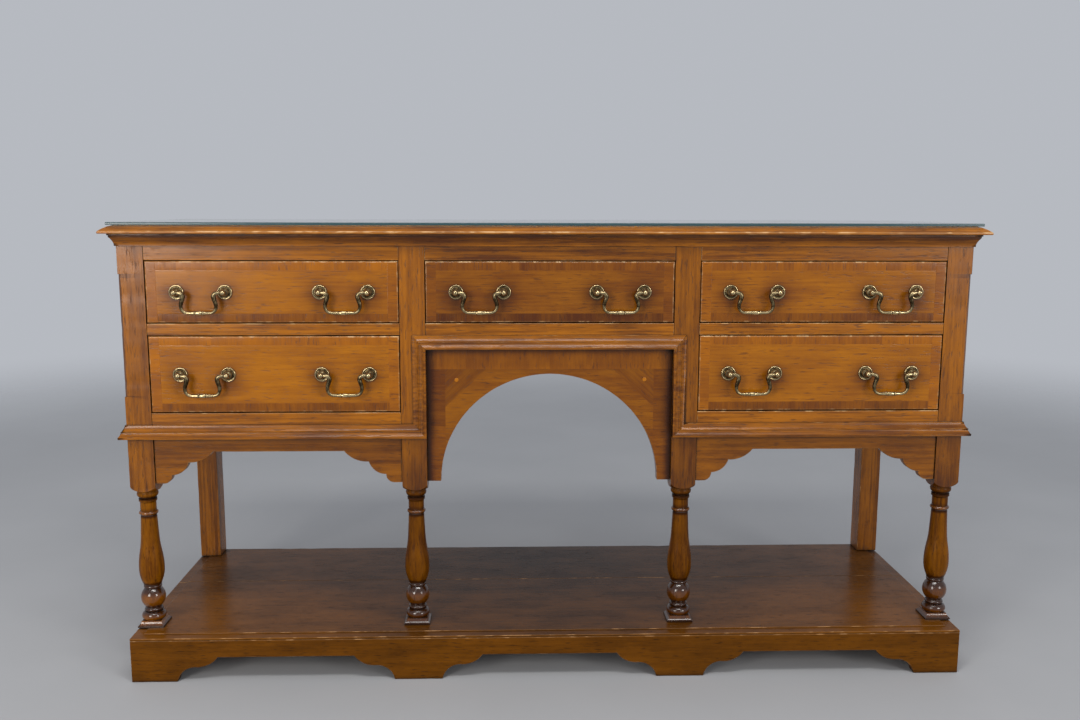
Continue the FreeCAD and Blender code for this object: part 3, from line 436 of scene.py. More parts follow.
def oak(name, light, dark, fleck, worn_and_highlight, roughness, gloss, streak, rings, dirt_and_shade=0.9):
    """Oak seen through its finish: rings, streaks, flecks, worn edges and dirt in the corners. The corners also
    take painted shade, and the worn edges that face up a painted highlight.

    The mesh carries grain (metres along, across and through the piece), tone (the timber's own, and on some
    pieces painted shade and light), figure (the share of the rings and streaks that shows) and wear, which also
    paints a highlight.
    """
    net = Wiring(name)
    grain = net.attribute("grain", "Vector")
    tone = net.attribute("tone")
    cloud = net.noise(net.scaled(grain, CLOUD_WAVES), detail=4.0, roughness=0.6)
    clouds = net.fit(cloud, low=0.28, high=0.74, to_low=-0.24, to_high=0.26)
    flecks = net.fit(net.noise(net.scaled(grain, FLECK_WAVES), detail=1.0), low=0.60, high=0.72)
    fibre = net.noise(net.scaled(grain, FIBRE_WAVES))
    fibres = net.fit(fibre, low=0.3, high=0.7, to_low=-0.10, to_high=0.10)
    # Dirt and painted shade: darker where the surface is closed in, in corners and between parts
    corner_dirt_and_shade = net.fit(net.openness(OAK_DIRT_AND_SHADE_REACH), low=0.25, high=0.92, to_low=dirt_and_shade, to_high=0.0)
    lines = net.total(ring_lines(net, grain, rings), streak_lines(net, grain, streak))
    depth = net.total(MIDDLE_DEPTH, net.times(lines, net.attribute("figure")), clouds, fibres)
    depth = net.math("SUBTRACT", depth, net.times(tone, TONE_DEPTH), clamp=True)
    colour = net.mix(depth, light, dark)
    colour = net.mix(net.times(flecks, FLECK_SHARE), colour, fleck)
    colour = worn_through(net, grain, toned(net, colour, tone), worn_and_highlight)
    colour = net.mix(corner_dirt_and_shade, colour, DIRT_AND_SHADE_COLOUR)
    shine = net.total(
        roughness, net.times(clouds, 0.2), net.times(flecks, 0.15), net.times(corner_dirt_and_shade, 0.2), clamp=True)
    height = net.math("SUBTRACT", net.times(fibre, 0.4), flecks)
    return net.finish(net.surface(
        Base_Color=colour, Roughness=shine, Specular_IOR_Level=gloss,
        Normal=net.bump(height, strength=0.22, distance=0.4 * MM)))


# Oak of the frame, the pale bare timber and painted highlight of its edges and rubbed turnings, and the veneers'
# finish
FRAME_OAK = {
    "light": rgb(0.36, 0.116, 0.002), "dark": rgb(0.104, 0.026, 0.001), "fleck": rgb(0.045, 0.012, 0.001),
    "streak": 0.56, "rings": 0.12}
VASE_OAK = {**FRAME_OAK, "light": rgb(0.36, 0.122, 0.002), "dark": rgb(0.104, 0.028, 0.001)}
BARE_OAK_AND_HIGHLIGHT = rgb(0.62, 0.38, 0.17)
RUBBED_OAK_AND_HIGHLIGHT = rgb(0.50, 0.24, 0.07)
VENEER = {"worn_and_highlight": rgb(0.70, 0.45, 0.22), "roughness": 0.22, "gloss": 0.34}
OAKS = {
    "oak_frame": dict(FRAME_OAK, worn_and_highlight=BARE_OAK_AND_HIGHLIGHT, roughness=0.26, gloss=0.34),
    "oak_under_glass": dict(FRAME_OAK, worn_and_highlight=BARE_OAK_AND_HIGHLIGHT, roughness=0.26, gloss=0.34, dirt_and_shade=0.0),
    "oak_turned": dict(FRAME_OAK, worn_and_highlight=RUBBED_OAK_AND_HIGHLIGHT, roughness=0.12, gloss=0.7),
    "oak_vase": dict(VASE_OAK, worn_and_highlight=RUBBED_OAK_AND_HIGHLIGHT, roughness=0.3, gloss=0.1),
    "oak_drawer_front": dict(
        VENEER, light=rgb(0.39, 0.132, 0.002), dark=rgb(0.180, 0.047, 0.001),
        fleck=rgb(0.080, 0.020, 0.001), streak=0.22, rings=0.10),
    "crossband": dict(
        VENEER, light=rgb(0.35, 0.110, 0.002), dark=rgb(0.120, 0.027, 0.001),
        fleck=rgb(0.065, 0.015, 0.001), streak=0.14, rings=0.05),
    "oak_base": dict(
        light=rgb(0.155, 0.052, 0.003), dark=rgb(0.044, 0.014, 0.001), fleck=rgb(0.016, 0.005, 0.001),
        worn_and_highlight=rgb(0.48, 0.26, 0.11), roughness=0.24, gloss=0.09, streak=0.2, rings=0.07),
    "inner_timber": dict(
        light=rgb(0.46, 0.30, 0.15), dark=rgb(0.27, 0.16, 0.07), fleck=rgb(0.14, 0.08, 0.03),
        worn_and_highlight=rgb(0.50, 0.34, 0.18), roughness=0.62, gloss=0.15, streak=0.5, rings=0.2, dirt_and_shade=0.5),
}


# Brass and glass
BROWN_BRASS = rgb(0.040, 0.027, 0.013)
BRIGHT_BRASS = rgb(0.60, 0.47, 0.25)


def aged_brass(name):
    """Brass rubbed bright where it is handled and brown elsewhere. The mesh carries polish."""
    net = Wiring(name)
    cloud = net.noise(net.place(), scale=160.0, detail=3.0, roughness=0.6)
    clouds = net.fit(cloud, low=0.3, high=0.7, to_low=-0.18, to_high=0.18)
    clean = net.fit(net.openness(BRASS_DIRT_REACH), low=0.3, high=0.9)
    bright = net.times(net.total(net.attribute("polish"), clouds, clamp=True), clean)
    return net.finish(net.surface(
        Base_Color=net.mix(bright, BROWN_BRASS, BRIGHT_BRASS), Metallic=1.0,
        Roughness=net.fit(bright, low=0.0, high=1.0, to_low=0.38, to_high=0.20),
        Normal=net.bump(cloud, strength=0.06, distance=0.3 * MM)))


def float_glass(name, tint, clearness, roughness):
    """Smeared glass. The lamps shine through its clear part on to what lies under it."""
    net = Wiring(name)
    smear = net.noise(net.scaled(net.place(), SMEAR_WAVES), scale=SMEAR_SCALE, detail=4.0)
    sheet = net.surface(
        Base_Color=tint, Transmission_Weight=clearness, IOR=1.5, Specular_IOR_Level=0.5,
        Roughness=net.fit(
            smear, low=0.35, high=0.75, to_low=roughness, to_high=roughness + SMEAR_ROUGHNESS))
    lamp_ray = net.add("LightPath").outputs["Is Shadow Ray"]
    return net.finish(net.blend(net.times(lamp_ray, clearness), sheet, net.clear(Color=tint)))


MATERIALS = {name: oak(name, **settings) for name, settings in OAKS.items()}
MATERIALS["brass"] = aged_brass("brass")
MATERIALS["glass"] = float_glass("glass", tint=rgb(0.80, 0.93, 0.90), clearness=1.0, roughness=0.02)
MATERIALS["glass_edge"] = float_glass(
    "glass_edge", tint=rgb(0.026, 0.066, 0.074), clearness=0.1, roughness=0.22)


# Mesh tools

def take_solid(left):
    """Take the vertices of one solid out of those that are left."""
    start = left.pop()
    found = [start]
    rim = [start]
    while rim:
        vertex = rim.pop()
        for edge in vertex.link_edges:
            other = edge.other_vert(vertex)
            if other in left:
                left.remove(other)
                found.append(other)
                rim.append(other)
    return found


def box_of(vertices):
    spots = [vertex.co for vertex in vertices]
    low = Vector(min(spot[axis] for spot in spots) for axis in range(3))
    high = Vector(max(spot[axis] for spot in spots) for axis in range(3))
    return low, high


def order_of(vertices):
    """What solids are sorted by, so that each run draws for them in the same order."""
    low, _ = box_of(vertices)
    return [round(value, ORDER_DIGITS) for value in low]


def solids(mesh):
    """The vertices of each separate solid of a mesh, in the order of the solids' places."""
    left = set(mesh.verts)
    found = []
    while left:
        found.append(take_solid(left))
    return sorted(found, key=order_of)


def longest_axis(vertices):
    low, high = box_of(vertices)
    return max(range(3), key=lambda axis: high[axis] - low[axis])


def near(first, second):
    return abs(first - second) < 2 * WELD


def by_start(table, name, default):
    """The value of the first key that a name starts with."""
    return next((value for start, value in table.items() if name.startswith(start)), default)


def fade(distance, reach, power=2):
    """One at no distance, falling smoothly to nought past a reach."""
    return math.exp(-(distance / reach) ** power)


def cleaned(node):
    """A copy of a CAD node's mesh with its flat faces whole again."""
    mesh = bmesh.new()
    mesh.from_mesh(frame["nodes"][node].data)
    bmesh.ops.remove_doubles(mesh, verts=mesh.verts, dist=WELD)
    bmesh.ops.dissolve_limit(
        mesh, angle_limit=FLAT_ANGLE, use_dissolve_boundaries=False, verts=mesh.verts, edges=mesh.edges)
    return mesh


def slab(low, high):
    """A mesh of one eight-cornered block between two corners."""
    mesh = bmesh.new()
    made = bmesh.ops.create_cube(mesh, size=1.0)
    for vertex in made["verts"]:
        vertex.co = Vector(
            low[axis] + (vertex.co[axis] + 0.5) * (high[axis] - low[axis]) for axis in range(3))
    return mesh


def add_layers(mesh):
    """Layers that the wood materials read, and one that marks the worn faces, which take the pale wear and painted
    highlight.
    """
    mesh.loops.layers.float_vector.new("grain")
    mesh.loops.layers.float.new("tone")
    mesh.loops.layers.float.new("figure")
    mesh.loops.layers.float.new("edge_wear_and_highlight")
    mesh.faces.layers.int.new("worn_and_highlight")


def sharp_edges(mesh):
    """The outer edges of a mesh that a hand would feel."""
    return [
        edge for edge in mesh.edges
        if len(edge.link_faces) == 2 and edge.calc_face_angle_signed() > CREASE_ANGLE]


def ease_edges(mesh, edges, size, segments=2):
    """Round some edges and mark their new faces as worn, to take the pale wear colour and painted highlight."""
    worn_and_highlight = mesh.faces.layers.int["worn_and_highlight"]
    made = bmesh.ops.bevel(
        mesh, geom=edges, offset=size, offset_type="OFFSET", segments=segments, profile=0.5,
        affect="EDGES", clamp_overlap=True)
    for face in made["faces"]:
        face[worn_and_highlight] = 1


def slice_by(mesh, place, normal):
    """Cut the whole mesh by a plane."""
    geometry = mesh.verts[:] + mesh.edges[:] + mesh.faces[:]
    bmesh.ops.bisect_plane(mesh, geom=geometry, dist=WELD, plane_co=place, plane_no=normal)


def slice_at(mesh, axis, place):
    slice_by(mesh, AXES[axis] * place, AXES[axis])


def slice_in_steps(mesh, axis, low, high, step):
    count = max(1, round((high - low) / step))
    for number in range(1, count):
        slice_at(mesh, axis, low + (high - low) * number / count)


def cut_across(mesh, vertices, axis, step):
    """Cut one solid into short lengths, so that its edges can waver."""
    low, high = box_of(vertices)
    count = int((high[axis] - low[axis]) / step)
    normal = AXES[axis]
    inside = set(vertices)
    for number in range(1, count):
        place = low + normal * (number * (high[axis] - low[axis]) / count)
        faces = {face for vertex in inside for face in vertex.link_faces}
        edges = {edge for face in faces for edge in face.edges}
        geometry = list(inside) + list(edges) + list(faces)
        made = bmesh.ops.bisect_plane(mesh, geom=geometry, dist=WELD, plane_co=place, plane_no=normal)
        inside.update(item for item in made["geom_cut"] if isinstance(item, bmesh.types.BMVert))


def at(value, spot):
    """A value that may depend on the place."""
    return value(spot) if callable(value) else value


def lay_grain(mesh, faces, along, tone=0.0, figure=1.0):
    """Give some faces a stretch of timber of their own, with the grain along a direction.

    The tone lightens the timber above zero and darkens it below. It and the figure may depend on the
    place, which is read a little inside each face.
    """
    grain = mesh.loops.layers.float_vector["grain"]
    shade = mesh.loops.layers.float["tone"]
    share = mesh.loops.layers.float["figure"]
    across = Vector((along.z, along.x, along.y)).cross(along).normalized()
    through = along.cross(across)
    offset = Vector(draws.uniform(-GRAIN_SPREAD, GRAIN_SPREAD) for _ in range(3))
    for face in faces:
        middle = face.calc_center_median()
        for loop in face.loops:
            spot = loop.vert.co
            inside = spot.lerp(middle, INSIDE_SHARE)
            loop[grain] = Vector((spot.dot(along), spot.dot(across), spot.dot(through))) + offset
            loop[shade] = at(tone, inside)
            loop[share] = at(figure, inside)


def waver(mesh, ripple, chip):
    """Sink the surface a little by chance, and the worn edges more."""
    mesh.normal_update()
    worn_and_highlight = mesh.faces.layers.int["worn_and_highlight"]
    edge_points = {vertex for face in mesh.faces if face[worn_and_highlight] for vertex in face.verts}
    moves = []
    for vertex in mesh.verts:
        slow = noise.noise(vertex.co * RIPPLES_PER_METRE) * 0.5 + 0.5
        sink = ripple * slow
        if vertex in edge_points:
            quick = noise.noise(vertex.co * CHIPS_PER_METRE + CHIP_SHIFT)
            sink += chip * max(0.0, quick - CHIP_START)
        moves.append((vertex, vertex.normal * -sink))
    for vertex, move in moves:
        vertex.co += move


def new_piece(name, mesh, node, materials=()):
    """Make an object of a finished mesh that takes the place of a CAD node."""
    data = bpy.data.meshes.new(name)
    mesh.to_mesh(data)
    mesh.free()
    for polygon in data.polygons:
        polygon.use_smooth = True
    for material in materials or (SLOT_OF[node],):
        data.materials.append(MATERIALS[material])
    piece = bpy.data.objects.new(name, data)
    bpy.context.scene.collection.objects.link(piece)
    weighted = piece.modifiers.new("weighted_normals", "WEIGHTED_NORMAL")
    weighted.keep_sharp = True
    weighted.weight = NORMAL_WEIGHT
    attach(piece, BODY_OF[node])
    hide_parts(node)
    return piece


def wooden_piece(name, mesh, node, ripple, chip, materials=()):
    """Finish a wooden mesh whose grain is laid: wear on the marked faces, most on those that face up, where it
    also paints a highlight.
    """
    worn_and_highlight = mesh.faces.layers.int["worn_and_highlight"]
    edge_wear_and_highlight = mesh.loops.layers.float["edge_wear_and_highlight"]
    mesh.normal_update()
    for face in mesh.faces:
        # The edges that face up take the full pale colour: wear and a painted highlight
        share = WEAR_AND_HIGHLIGHT_UP if face.normal.z > FACING_UP else WEAR_ELSEWHERE
        for loop in face.loops:
            loop[edge_wear_and_highlight] = face[worn_and_highlight] * share
    waver(mesh, ripple, chip)
    return new_piece(name, mesh, node, materials)


def wooden(node, ease=EASE, step=STEP, tone=0.0, figure=1.0, materials=()):
    """A worn wooden piece in the shape of a CAD node, with the grain along each solid."""
    mesh = cleaned(node)
    add_layers(mesh)
    ease_edges(mesh, sharp_edges(mesh), ease)
    for vertices in solids(mesh):
        cut_across(mesh, vertices, longest_axis(vertices), step)
    for vertices in solids(mesh):
        faces = {face for vertex in vertices for face in vertex.link_faces}
        lay_grain(mesh, faces, AXES[longest_axis(vertices)], tone, figure)
    return wooden_piece(f"{node}_wood", mesh, node, RIPPLE, by_start(CHIPS, node, CHIP), materials)


def circle(mesh, middle, radius, side, other, segments):
    """New vertices round a middle, in the plane of two directions."""
    turns = [2 * math.pi * number / segments for number in range(segments)]
    return [
        mesh.verts.new(middle + (side * math.cos(turn) + other * math.sin(turn)) * radius)
        for turn in turns]


def skin(mesh, rings):
    """Join rings of vertices by faces. A ring of one vertex closes an end."""
    segments = max(len(ring) for ring in rings)
    for first, second in zip(rings, rings[1:]):
        for number in range(segments):
            following = (number + 1) % segments
            corners = [
                first[number % len(first)], second[number % len(second)],
                second[following % len(second)], first[following % len(first)]]
            mesh.faces.new(list(dict.fromkeys(corners)))


def lathe(mesh, profile, centre, axis, segments):
    """Turn a profile of (distance along the axis, radius) about an axis; a zero radius closes an end.

    Returns the ring of vertices that each point of the profile made.
    """
    side = axis.orthogonal().normalized()
    other = axis.cross(side)
    rings = []
    for along, radius in profile:
        middle = centre + axis * along
        if radius == 0.0:
            rings.append([mesh.verts.new(middle)])
        else:
            rings.append(circle(mesh, middle, radius, side, other, segments))
    skin(mesh, rings)
    return rings


# Places of the handles

def pivot_of(name, side):
    return Vector(JOINT_OF[f"{name}_bail_{side}_swing"]["pos_m"])


def posts_of(name):
    """The middles of a drawer's four handle posts, at the depth of the pivots."""
    return [
        pivot_of(name, side) + AXES[0] * (sign * POST_HALF * MM)
        for side in HANDLES for sign in (-1.0, 1.0)]


# Drawer fronts

def leaves(low, high, tone, spread):
    """Veneer leaves of a band: where each ends, and its tone."""
    count = max(1, round((high - low) / LEAF))
    return [
        (low + (high - low) * (number + 1) / count, tone + draws.uniform(-spread, spread))
        for number in range(count)]


def front_bands(low, high):
    """Each border of a front: axis across it, its two sides, axis along it and its leaves."""
    return [
        (0, low.x, low.x + SIDE_BAND, 2, leaves(low.z, high.z, *SIDE_LEAVES)),
        (0, high.x - SIDE_BAND, high.x, 2, leaves(low.z, high.z, *SIDE_LEAVES)),
        (2, low.z, low.z + RAIL_BAND, 0, leaves(low.x, high.x, *LOWER_LEAVES)),
        (2, high.z - RAIL_BAND, high.z, 0, leaves(low.x, high.x, *UPPER_LEAVES)),
    ]


def leaf_at(bands, spot):
    """The band and the leaf that a place lies in, or nothing in the field."""
    for number, (axis, start, stop, run, ends) in enumerate(bands):
        if start < spot[axis] < stop:
            return number, next(order for order, (end, _) in enumerate(ends) if spot[run] <= end + WELD)
    return None


def cut_front(mesh, low, high, sides, rails):
    """Cut a front along its joint lines and on both sides of them, and into short steps."""
    for axis, places in ((0, sides), (2, rails)):
        for place in places:
            for shift in (-JOINT_HALF, 0.0, JOINT_HALF):
                slice_at(mesh, axis, place + shift)
    slice_in_steps(mesh, 0, low.x, high.x, FRONT_STEP)
    slice_in_steps(mesh, 2, low.z, high.z, FRONT_STEP)


def scribe_joints(mesh, front, sides, rails):
    """Sink the thin joint lines between the borders and the field."""
    for vertex in mesh.verts:
        spot = vertex.co
        on_side = any(near(spot.x, place) for place in sides)
        on_rail = any(near(spot.z, place) for place in rails) and sides[0] <= spot.x <= sides[1]
        if near(spot.y, front) and (on_side or on_rail):
            spot.y += JOINT_DEPTH


def front_tone(name):
    """A front's own tone by place, with dark halos round its handles, partly smudges that dusting leaves and
    partly painted shadow of the roses.
    """
    smudges_and_shadows = [post - AXES[2] * SMUDGE_AND_SHADOW_DROP for post in posts_of(name)]

    def tone_at(spot):
        away = [math.hypot(spot.x - smudge_and_shadow.x, spot.z - smudge_and_shadow.z) for smudge_and_shadow in smudges_and_shadows]
        return FRONT_TONES[name] + sum(SMUDGE_AND_SHADOW_TONE * fade(distance, SMUDGE_AND_SHADOW_REACH) for distance in away)

    return tone_at


def veneer_front(mesh, name, low, high):
    """Lay the field of a front and each leaf of its borders."""
    bands = front_bands(low, high)
    groups = {}
    for face in mesh.faces:
        spot = face.calc_center_median()
        key = leaf_at(bands, spot) if spot.y < low.y + FRONT_ROUND else None
        face.material_index = FIELD if key is None else BAND
        groups.setdefault(key, []).append(face)
    lay_grain(mesh, groups.pop(None), AXES[0], front_tone(name))
    for band, leaf in sorted(groups):
        axis, _, _, _, ends = bands[band]
        lay_grain(mesh, groups[band, leaf], AXES[axis], FRONT_TONES[name] + ends[leaf][1])


def drawer_front(name):
    """A solid front with a rounded edge, veneered with a field in crossbanded borders."""
    node = f"{name}_drawer_front"
    low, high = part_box(node)
    mesh = slab(low, high)
    add_layers(mesh)
    face_edges = [edge for edge in mesh.edges if all(near(vertex.co.y, low.y) for vertex in edge.verts)]
    ease_edges(mesh, face_edges, FRONT_ROUND, FRONT_ROUND_SEGMENTS)
    sides = (low.x + SIDE_BAND, high.x - SIDE_BAND)
    rails = (low.z + RAIL_BAND, high.z - RAIL_BAND)
    cut_front(mesh, low, high, sides, rails)
    scribe_joints(mesh, low.y, sides, rails)
    veneer_front(mesh, name, low, high)
    return wooden_piece(f"{name}_front_wood", mesh, node, FRONT_RIPPLE, FRONT_CHIP, VENEERS)


# Arch panel

def arch_zone(spot, inner_x, inner_z):
    """The veneer that a place on the arch panel belongs to."""
    if spot.z > inner_z:
        return "top"
    if abs(spot.x) > inner_x:
        return "side_low" if spot.z < ARCH_SPRING else "side_high"
    into_corner = (abs(spot.x) - inner_x) / INLAY_RUN + (spot.z - inner_z) / INLAY_RISE + 1.0
    if into_corner > 0.0:
        return "inlay_left" if spot.x < 0.0 else "inlay_right"
    return "field"


def arch_shade(spot, low, high):
    """The painted shade against the mouldings round the arch panel."""
    side = min(spot.x - low.x, high.x - spot.x)
    top = high.z - spot.z
    return ARCH_SIDE_SHADE * fade(side, ARCH_SHADE_REACH) + ARCH_TOP_SHADE * fade(top, ARCH_SHADE_REACH)


def cut_arch(mesh, low, high, inner_x, inner_z):
    """Cut the arch panel into short steps, along its joints, and finely where the painted shade lies."""
    slice_in_steps(mesh, 0, low.x, high.x, ARCH_STEP)
    slice_in_steps(mesh, 2, low.z, high.z, ARCH_STEP)
    slice_at(mesh, 2, inner_z)
    for sign in (-1.0, 1.0):
        slice_at(mesh, 0, sign * inner_x)
        corner = Vector((sign * (inner_x - INLAY_RUN), 0.0, inner_z))
        slice_by(mesh, corner, Vector((sign * INLAY_RISE, 0.0, INLAY_RUN)).normalized())
    for step in ARCH_SHADE_CUTS:
        slice_at(mesh, 0, low.x + step)
        slice_at(mesh, 0, high.x - step)
        slice_at(mesh, 2, high.z - step)


def veneer_arch(mesh, low, high, inner_x, inner_z):
    """Lay each veneer of the arch panel along its own grain."""
    slope = Vector((INLAY_RUN, 0.0, INLAY_RISE)).normalized()
    veneers = {
        "field": (AXES[0], FIELD), "top": (AXES[2], BAND),
        "side_low": (AXES[0], BAND), "side_high": (AXES[0], BAND),
        "inlay_left": (slope, FIELD), "inlay_right": (Vector((-slope.x, 0.0, slope.z)), FIELD)}
    zones = {zone: [] for zone in veneers}
    for face in mesh.faces:
        zones[arch_zone(face.calc_center_median(), inner_x, inner_z)].append(face)
    for zone, (along, index) in veneers.items():
        tone = ARCH_TONES[zone]
        lay_grain(mesh, zones[zone], along, lambda spot: tone + arch_shade(spot, low, high))
        for face in zones[zone]:
            face.material_index = index


def add_pegs(mesh, front):
    """Add the end of a peg on each side of the arch."""
    for place in PEGS_X:
        before = set(mesh.faces)
        lathe(mesh, PEG_PROFILE, Vector((place, front, PEG_Z)), OUTWARD, PEG_SIDES)
        lay_grain(mesh, [face for face in mesh.faces if face not in before], AXES[1], PEG_TONE)


def arch_panel():
    """The arched panel with crossbanded borders, a corner inlay and a peg on each side."""
    low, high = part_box("arch_panel")
    mesh = cleaned("arch_panel")
    add_layers(mesh)
    ease_edges(mesh, sharp_edges(mesh), ARCH_EASE)
    inner_x = high.x - ARCH_SIDE_BAND
    inner_z = high.z - ARCH_TOP_BAND
    cut_arch(mesh, low, high, inner_x, inner_z)
    veneer_arch(mesh, low, high, inner_x, inner_z)
    add_pegs(mesh, low.y)
    return wooden_piece("arch_panel_wood", mesh, "arch_panel", ARCH_RIPPLE, ARCH_CHIP, VENEERS)


# Handles

def brass_mesh():
    mesh = bmesh.new()
    mesh.verts.layers.float.new("polish")
    return mesh


def note_polish(mesh, ring, share):
    polish = mesh.verts.layers.float["polish"]
    for vertex in ring:
        vertex[polish] = share


def rose_stations():
    """A ball knob, neck, boss and rose, from the knob's tip to the bolt's end."""
    turns = [math.radians(KNOB_DEGREES * number / KNOB_STEPS) for number in range(KNOB_STEPS + 1)]
    knob = [
        (KNOB_MIDDLE + KNOB_RADIUS * math.cos(turn), KNOB_RADIUS * math.sin(turn), KNOB_POLISH)
        for turn in turns]
    return knob + NECK + BOSS + COVE + RIM + BOLT


def brass_turning(mesh, stations, foot, segments):
    """Turn brass outward from a point on a drawer front and note its polish."""
    profile = [(height * MM, radius * MM) for height, radius, _ in stations]
    for ring, (_, _, share) in zip(lathe(mesh, profile, foot, OUTWARD, segments), stations):
        note_polish(mesh, ring, share)


def handle_posts(name):
    """The four posts of a drawer's handles, with their roses, bolts and nuts."""
    mesh = brass_mesh()
    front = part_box(f"{name}_drawer_front")[0].y
    for post in posts_of(name):
        foot = Vector((post.x, front, post.z))
        brass_turning(mesh, rose_stations(), foot, ROSE_SIDES)
        brass_turning(mesh, NUT, foot, NUT_SIDES)
    bmesh.ops.recalc_face_normals(mesh, faces=mesh.faces)
    return new_piece(f"{name}_handle_posts_brass", mesh, f"{name}_handle_posts")


def curve_value(before, start, stop, after, share):
    """One number of a Catmull-Rom curve, a share of the way from start to stop."""
    return 0.5 * (
        2 * start + (stop - before) * share
        + (2 * before - 5 * start + 4 * stop - after) * share ** 2
        + (3 * start - before - 3 * stop + after) * share ** 3)


def smooth_line(points, steps):
    """A Catmull-Rom curve through points of several numbers each."""
    line = []
    padded = [points[0]] + list(points) + [points[-1]]
    for four in zip(padded, padded[1:], padded[2:], padded[3:]):
        for number in range(steps):
            line.append(tuple(curve_value(*values, number / steps) for values in zip(*four)))
    return line + [points[-1]]


def bail_stations():
    """Place across the handle, drop, radius and polish along a whole bail, from left to right."""
    arm = [(inset - POST_HALF, *rest) for inset, *rest in smooth_line(ARM, ARM_STEPS)]
    grip = [(-reach, -BAIL_DROP, radius, polish) for reach, radius, polish in GRIP]
    half = arm + grip
    return half + [(-across, *rest) for across, *rest in reversed(half[:-1])]


def bail(name, side):
    """A swan-necked bail: one rod whose thickness changes, with a ringed grip."""
    mesh = brass_mesh()
    pivot = pivot_of(name, side)
    stations = bail_stations()
    places = [pivot + Vector((across * MM, 0.0, drop * MM)) for across, drop, _, _ in stations]
    rings = []
    for number, (_, _, radius, share) in enumerate(stations):
        ahead = places[min(number + 1, len(places) - 1)] - places[max(number - 1, 0)]
        level = ahead.normalized().cross(AXES[1])
        ring = circle(mesh, places[number], radius * MM, level, AXES[1], ROD_SIDES)
        note_polish(mesh, ring, share)
        rings.append(ring)
    skin(mesh, rings)
    mesh.faces.new(rings[0])
    mesh.faces.new(rings[-1])
    bmesh.ops.recalc_face_normals(mesh, faces=mesh.faces)
    return new_piece(f"{name}_bail_{side}_brass", mesh, f"{name}_bail_{side}")


# Glass

def glass_top():
    """The sheet of glass, with the tint of its edge round it."""
    mesh = cleaned("glass_top")
    add_layers(mesh)
    ease_edges(mesh, sharp_edges(mesh), GLASS_EASE)
    for face in mesh.faces:
        finish = "glass" if abs(face.normal.z) > GLASS_LEVEL else "glass_edge"
        face.material_index = GLASS_FINISHES.index(finish)
    return new_piece("glass_top_sheet", mesh, "glass_top", GLASS_FINISHES)


# Tones that change over a piece, painted shade and light among them

def above_block(spot):
    """Nought on the turned stretch of a leg, rising to one up its square post."""
    return min(1.0, max(0.0, (spot.z - BLOCK_BOTTOM) / POST_FADE))


def leg_tone(node):
    """A leg's tone by place: the turned stretch is darker than the post, partly as painted shade, and darkest in
    bands of dirt and painted shade.
    """
    post, turned = LEG_TONES[node]
    low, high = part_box(node)
    outer_x = low.x if high.x < 0.0 else high.x

    def tone_at(spot):
        share = above_block(spot)
        rise = spot.z - POTBOARD_TOP
        dirt_and_shade = max(fade(rise - level, half) for level, half in LEG_DARK_BANDS)
        tone = post * share + turned * (1.0 - share) + LEG_DARK_BAND_TONE * dirt_and_shade
        off_corner = abs(spot.x - outer_x) + abs(spot.y - low.y)
        on_chamfer = CHAMFER_LEVELS[0] < spot.z < CHAMFER_LEVELS[1] and off_corner < CHAMFER_REACH
        return tone + CHAMFER_TONE if on_chamfer and "corner" in node else tone

    return tone_at


def leg_figure(spot):
    """The grain shows least on the ball and the cup."""
    return BALL_FIGURE if spot.z < POTBOARD_TOP + VASE_FOOT else VASE_FIGURE


def potboard_shading(spot):
    """Painted shade darkens the middle of the potboard under the carcase, and painted light lightens its front
    edge.
    """
    front = POTBOARD_EDGE_LIGHT * fade(spot.y - POTBOARD_FRONT, POTBOARD_EDGE_LIGHT_REACH)
    middle = POTBOARD_MIDDLE_SHADE * fade(spot.x, POTBOARD_SHADE_REACH)
    return POTBOARD_TONE + middle * (1.0 - front) + front


def cornice_shade(spot):
    """Painted shade under the top: darkest in the step of the cornice and at the top of its cove, lighter down the
    cove.
    """
    drop = CARCASE_TOP - spot.z
    if drop < CORNICE_LIP_END:
        return CORNICE_LIP_SHADE
    if drop < CORNICE_STEP_END:
        return CORNICE_STEP_SHADE
    if drop < CORNICE_COVE_END:
        share = (drop - CORNICE_STEP_END) / (CORNICE_COVE_END - CORNICE_STEP_END)
        return CORNICE_COVE_SHADE + CORNICE_COVE_RISE * share
    return 0.0


def top_rail_shade(spot):
    """Painted shade of the cornice on the top rails, darkest on the rail over the middle drawer."""
    return TOP_RAIL_SHADE + TOP_RAIL_MIDDLE_SHADE * fade(spot.x, TOP_RAIL_SHADE_REACH, TOP_RAIL_POWER)


def polish_turning(piece):
    """Give a leg's cup, ball and bead a glossier finish than its post, and its vase a duller one."""
    for polygon in piece.data.polygons:
        rise = polygon.center.z - POTBOARD_TOP
        if rise < VASE_FOOT or BEAD_FOOT < rise < BEAD_TOP:
            polygon.material_index = LEG_FINISHES.index("oak_turned")
        elif polygon.center.z < BLOCK_BOTTOM:
            polygon.material_index = LEG_FINISHES.index("oak_vase")


def dress_wood(node):
    """Dress a wooden node in its own shape, with the edges and tones of its kind."""
    if node in LEG_TONES:
        leg = wooden(node, FINE_EASE, LEG_STEP, leg_tone(node), leg_figure, LEG_FINISHES)
        polish_turning(leg)
    elif node == "top_board":
        wooden(node, materials=("oak_under_glass",))
    elif node == "cornice":
        wooden(node, ease=CORNICE_EASE, tone=cornice_shade)
    elif node.startswith("waist"):
        wooden(node, ease=FINE_EASE, tone=TONES["waist"])
    elif node.startswith("potboard"):
        wooden(node, ease=POTBOARD_EASE, step=POTBOARD_STEP, tone=potboard_shading)
    elif node == "top_rails":
        wooden(node, tone=top_rail_shade)
    elif node.startswith("apron"):
        wooden(node, tone=TONES["apron"], figure=APRON_FIGURE)
    else:
        wooden(node, tone=by_start(TONES, node, 0.0))


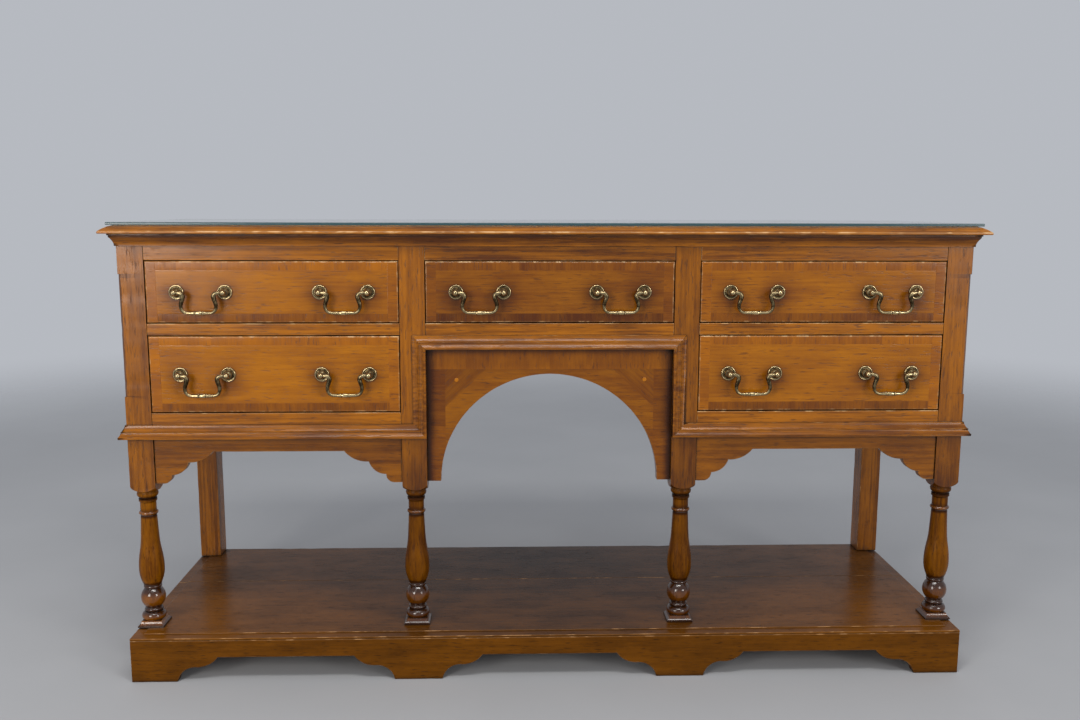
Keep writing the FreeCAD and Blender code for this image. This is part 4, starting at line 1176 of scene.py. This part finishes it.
# Stage
BACKDROP = rgb(0.47, 0.49, 0.53)
FLOOR_DARK = rgb(0.40, 0.405, 0.415)
FLOOR_LIGHT = rgb(0.45, 0.455, 0.465)


def make_camera():
    data = bpy.data.cameras.new("camera")
    data.sensor_width = SENSOR
    data.lens = FOCAL_PIXELS * SENSOR / PICTURE_WIDTH
    camera = bpy.data.objects.new("camera", data)
    bpy.context.scene.collection.objects.link(camera)
    camera.location = CAMERA_PLACE
    camera.rotation_euler = Euler(
        (math.radians(90 - CAMERA_PITCH), math.radians(-CAMERA_ROLL), math.radians(-CAMERA_YAW)), "XYZ")
    bpy.context.scene.camera = camera


def make_world():
    world = bpy.data.worlds.new("studio")
    bpy.context.scene.world = world
    world.use_nodes = True
    background = world.node_tree.nodes["Background"]
    background.inputs["Color"].default_value = BACKDROP
    background.inputs["Strength"].default_value = 1.0
    bpy.context.scene.view_settings.view_transform = "Standard"


def make_light(name, place, aim, width, height, watts, colour):
    data = bpy.data.lights.new(name, "AREA")
    data.shape = "RECTANGLE"
    data.size = width
    data.size_y = height
    data.energy = watts
    data.color = colour
    light = bpy.data.objects.new(name, data)
    bpy.context.scene.collection.objects.link(light)
    light.location = place
    light.rotation_euler = (Vector(aim) - Vector(place)).to_track_quat("-Z", "Y").to_euler()


def make_lights():
    make_light(
        "key", place=(-1.96, -2.9, 1.37), aim=(-1.96, 0.0, 1.37), width=1.08, height=1.45, watts=50.0,
        colour=(1.0, 0.96, 0.91))
    make_light(
        "fill", place=(2.5, -2.9, 1.4), aim=(0.2, 0.0, 1.0), width=1.0, height=1.2, watts=38.0,
        colour=(1.0, 0.98, 0.96))
    make_light(
        "over", place=(0.0, -1.6, 2.9), aim=(0.0, 0.0, 0.5), width=2.0, height=0.5, watts=34.0,
        colour=(1.0, 0.99, 0.97))


def floor_material():
    """A pale floor that fades into the backdrop."""
    net = Wiring("pale_floor")
    place = net.place()
    cloud = net.noise(place, scale=3.0, detail=3.0)
    colour = net.mix(cloud, FLOOR_DARK, FLOOR_LIGHT)
    away = net.fit(net.length(place), FLOOR_FADE_START, FLOOR_FADE_END)
    return net.finish(net.blend(away, net.surface(Base_Color=colour, Roughness=0.9), net.clear()))


def make_floor():
    mesh = bmesh.new()
    bmesh.ops.create_grid(mesh, x_segments=FLOOR_SQUARES, y_segments=FLOOR_SQUARES, size=FLOOR_HALF)
    data = bpy.data.meshes.new("floor")
    mesh.to_mesh(data)
    mesh.free()
    data.materials.append(floor_material())
    floor = bpy.data.objects.new("floor", data)
    floor.location.z = -FLOOR_DROP
    bpy.context.scene.collection.objects.link(floor)


make_camera()
make_world()
make_floor()
make_lights()
for wood_node, wood_slot in SLOT_OF.items():
    if wood_slot in WOOD_SLOTS and wood_node != "arch_panel":
        dress_wood(wood_node)
arch_panel()
glass_top()
for drawer in DRAWERS:
    drawer_front(drawer)
    handle_posts(drawer)
    for handle_side in HANDLES:
        bail(drawer, handle_side)
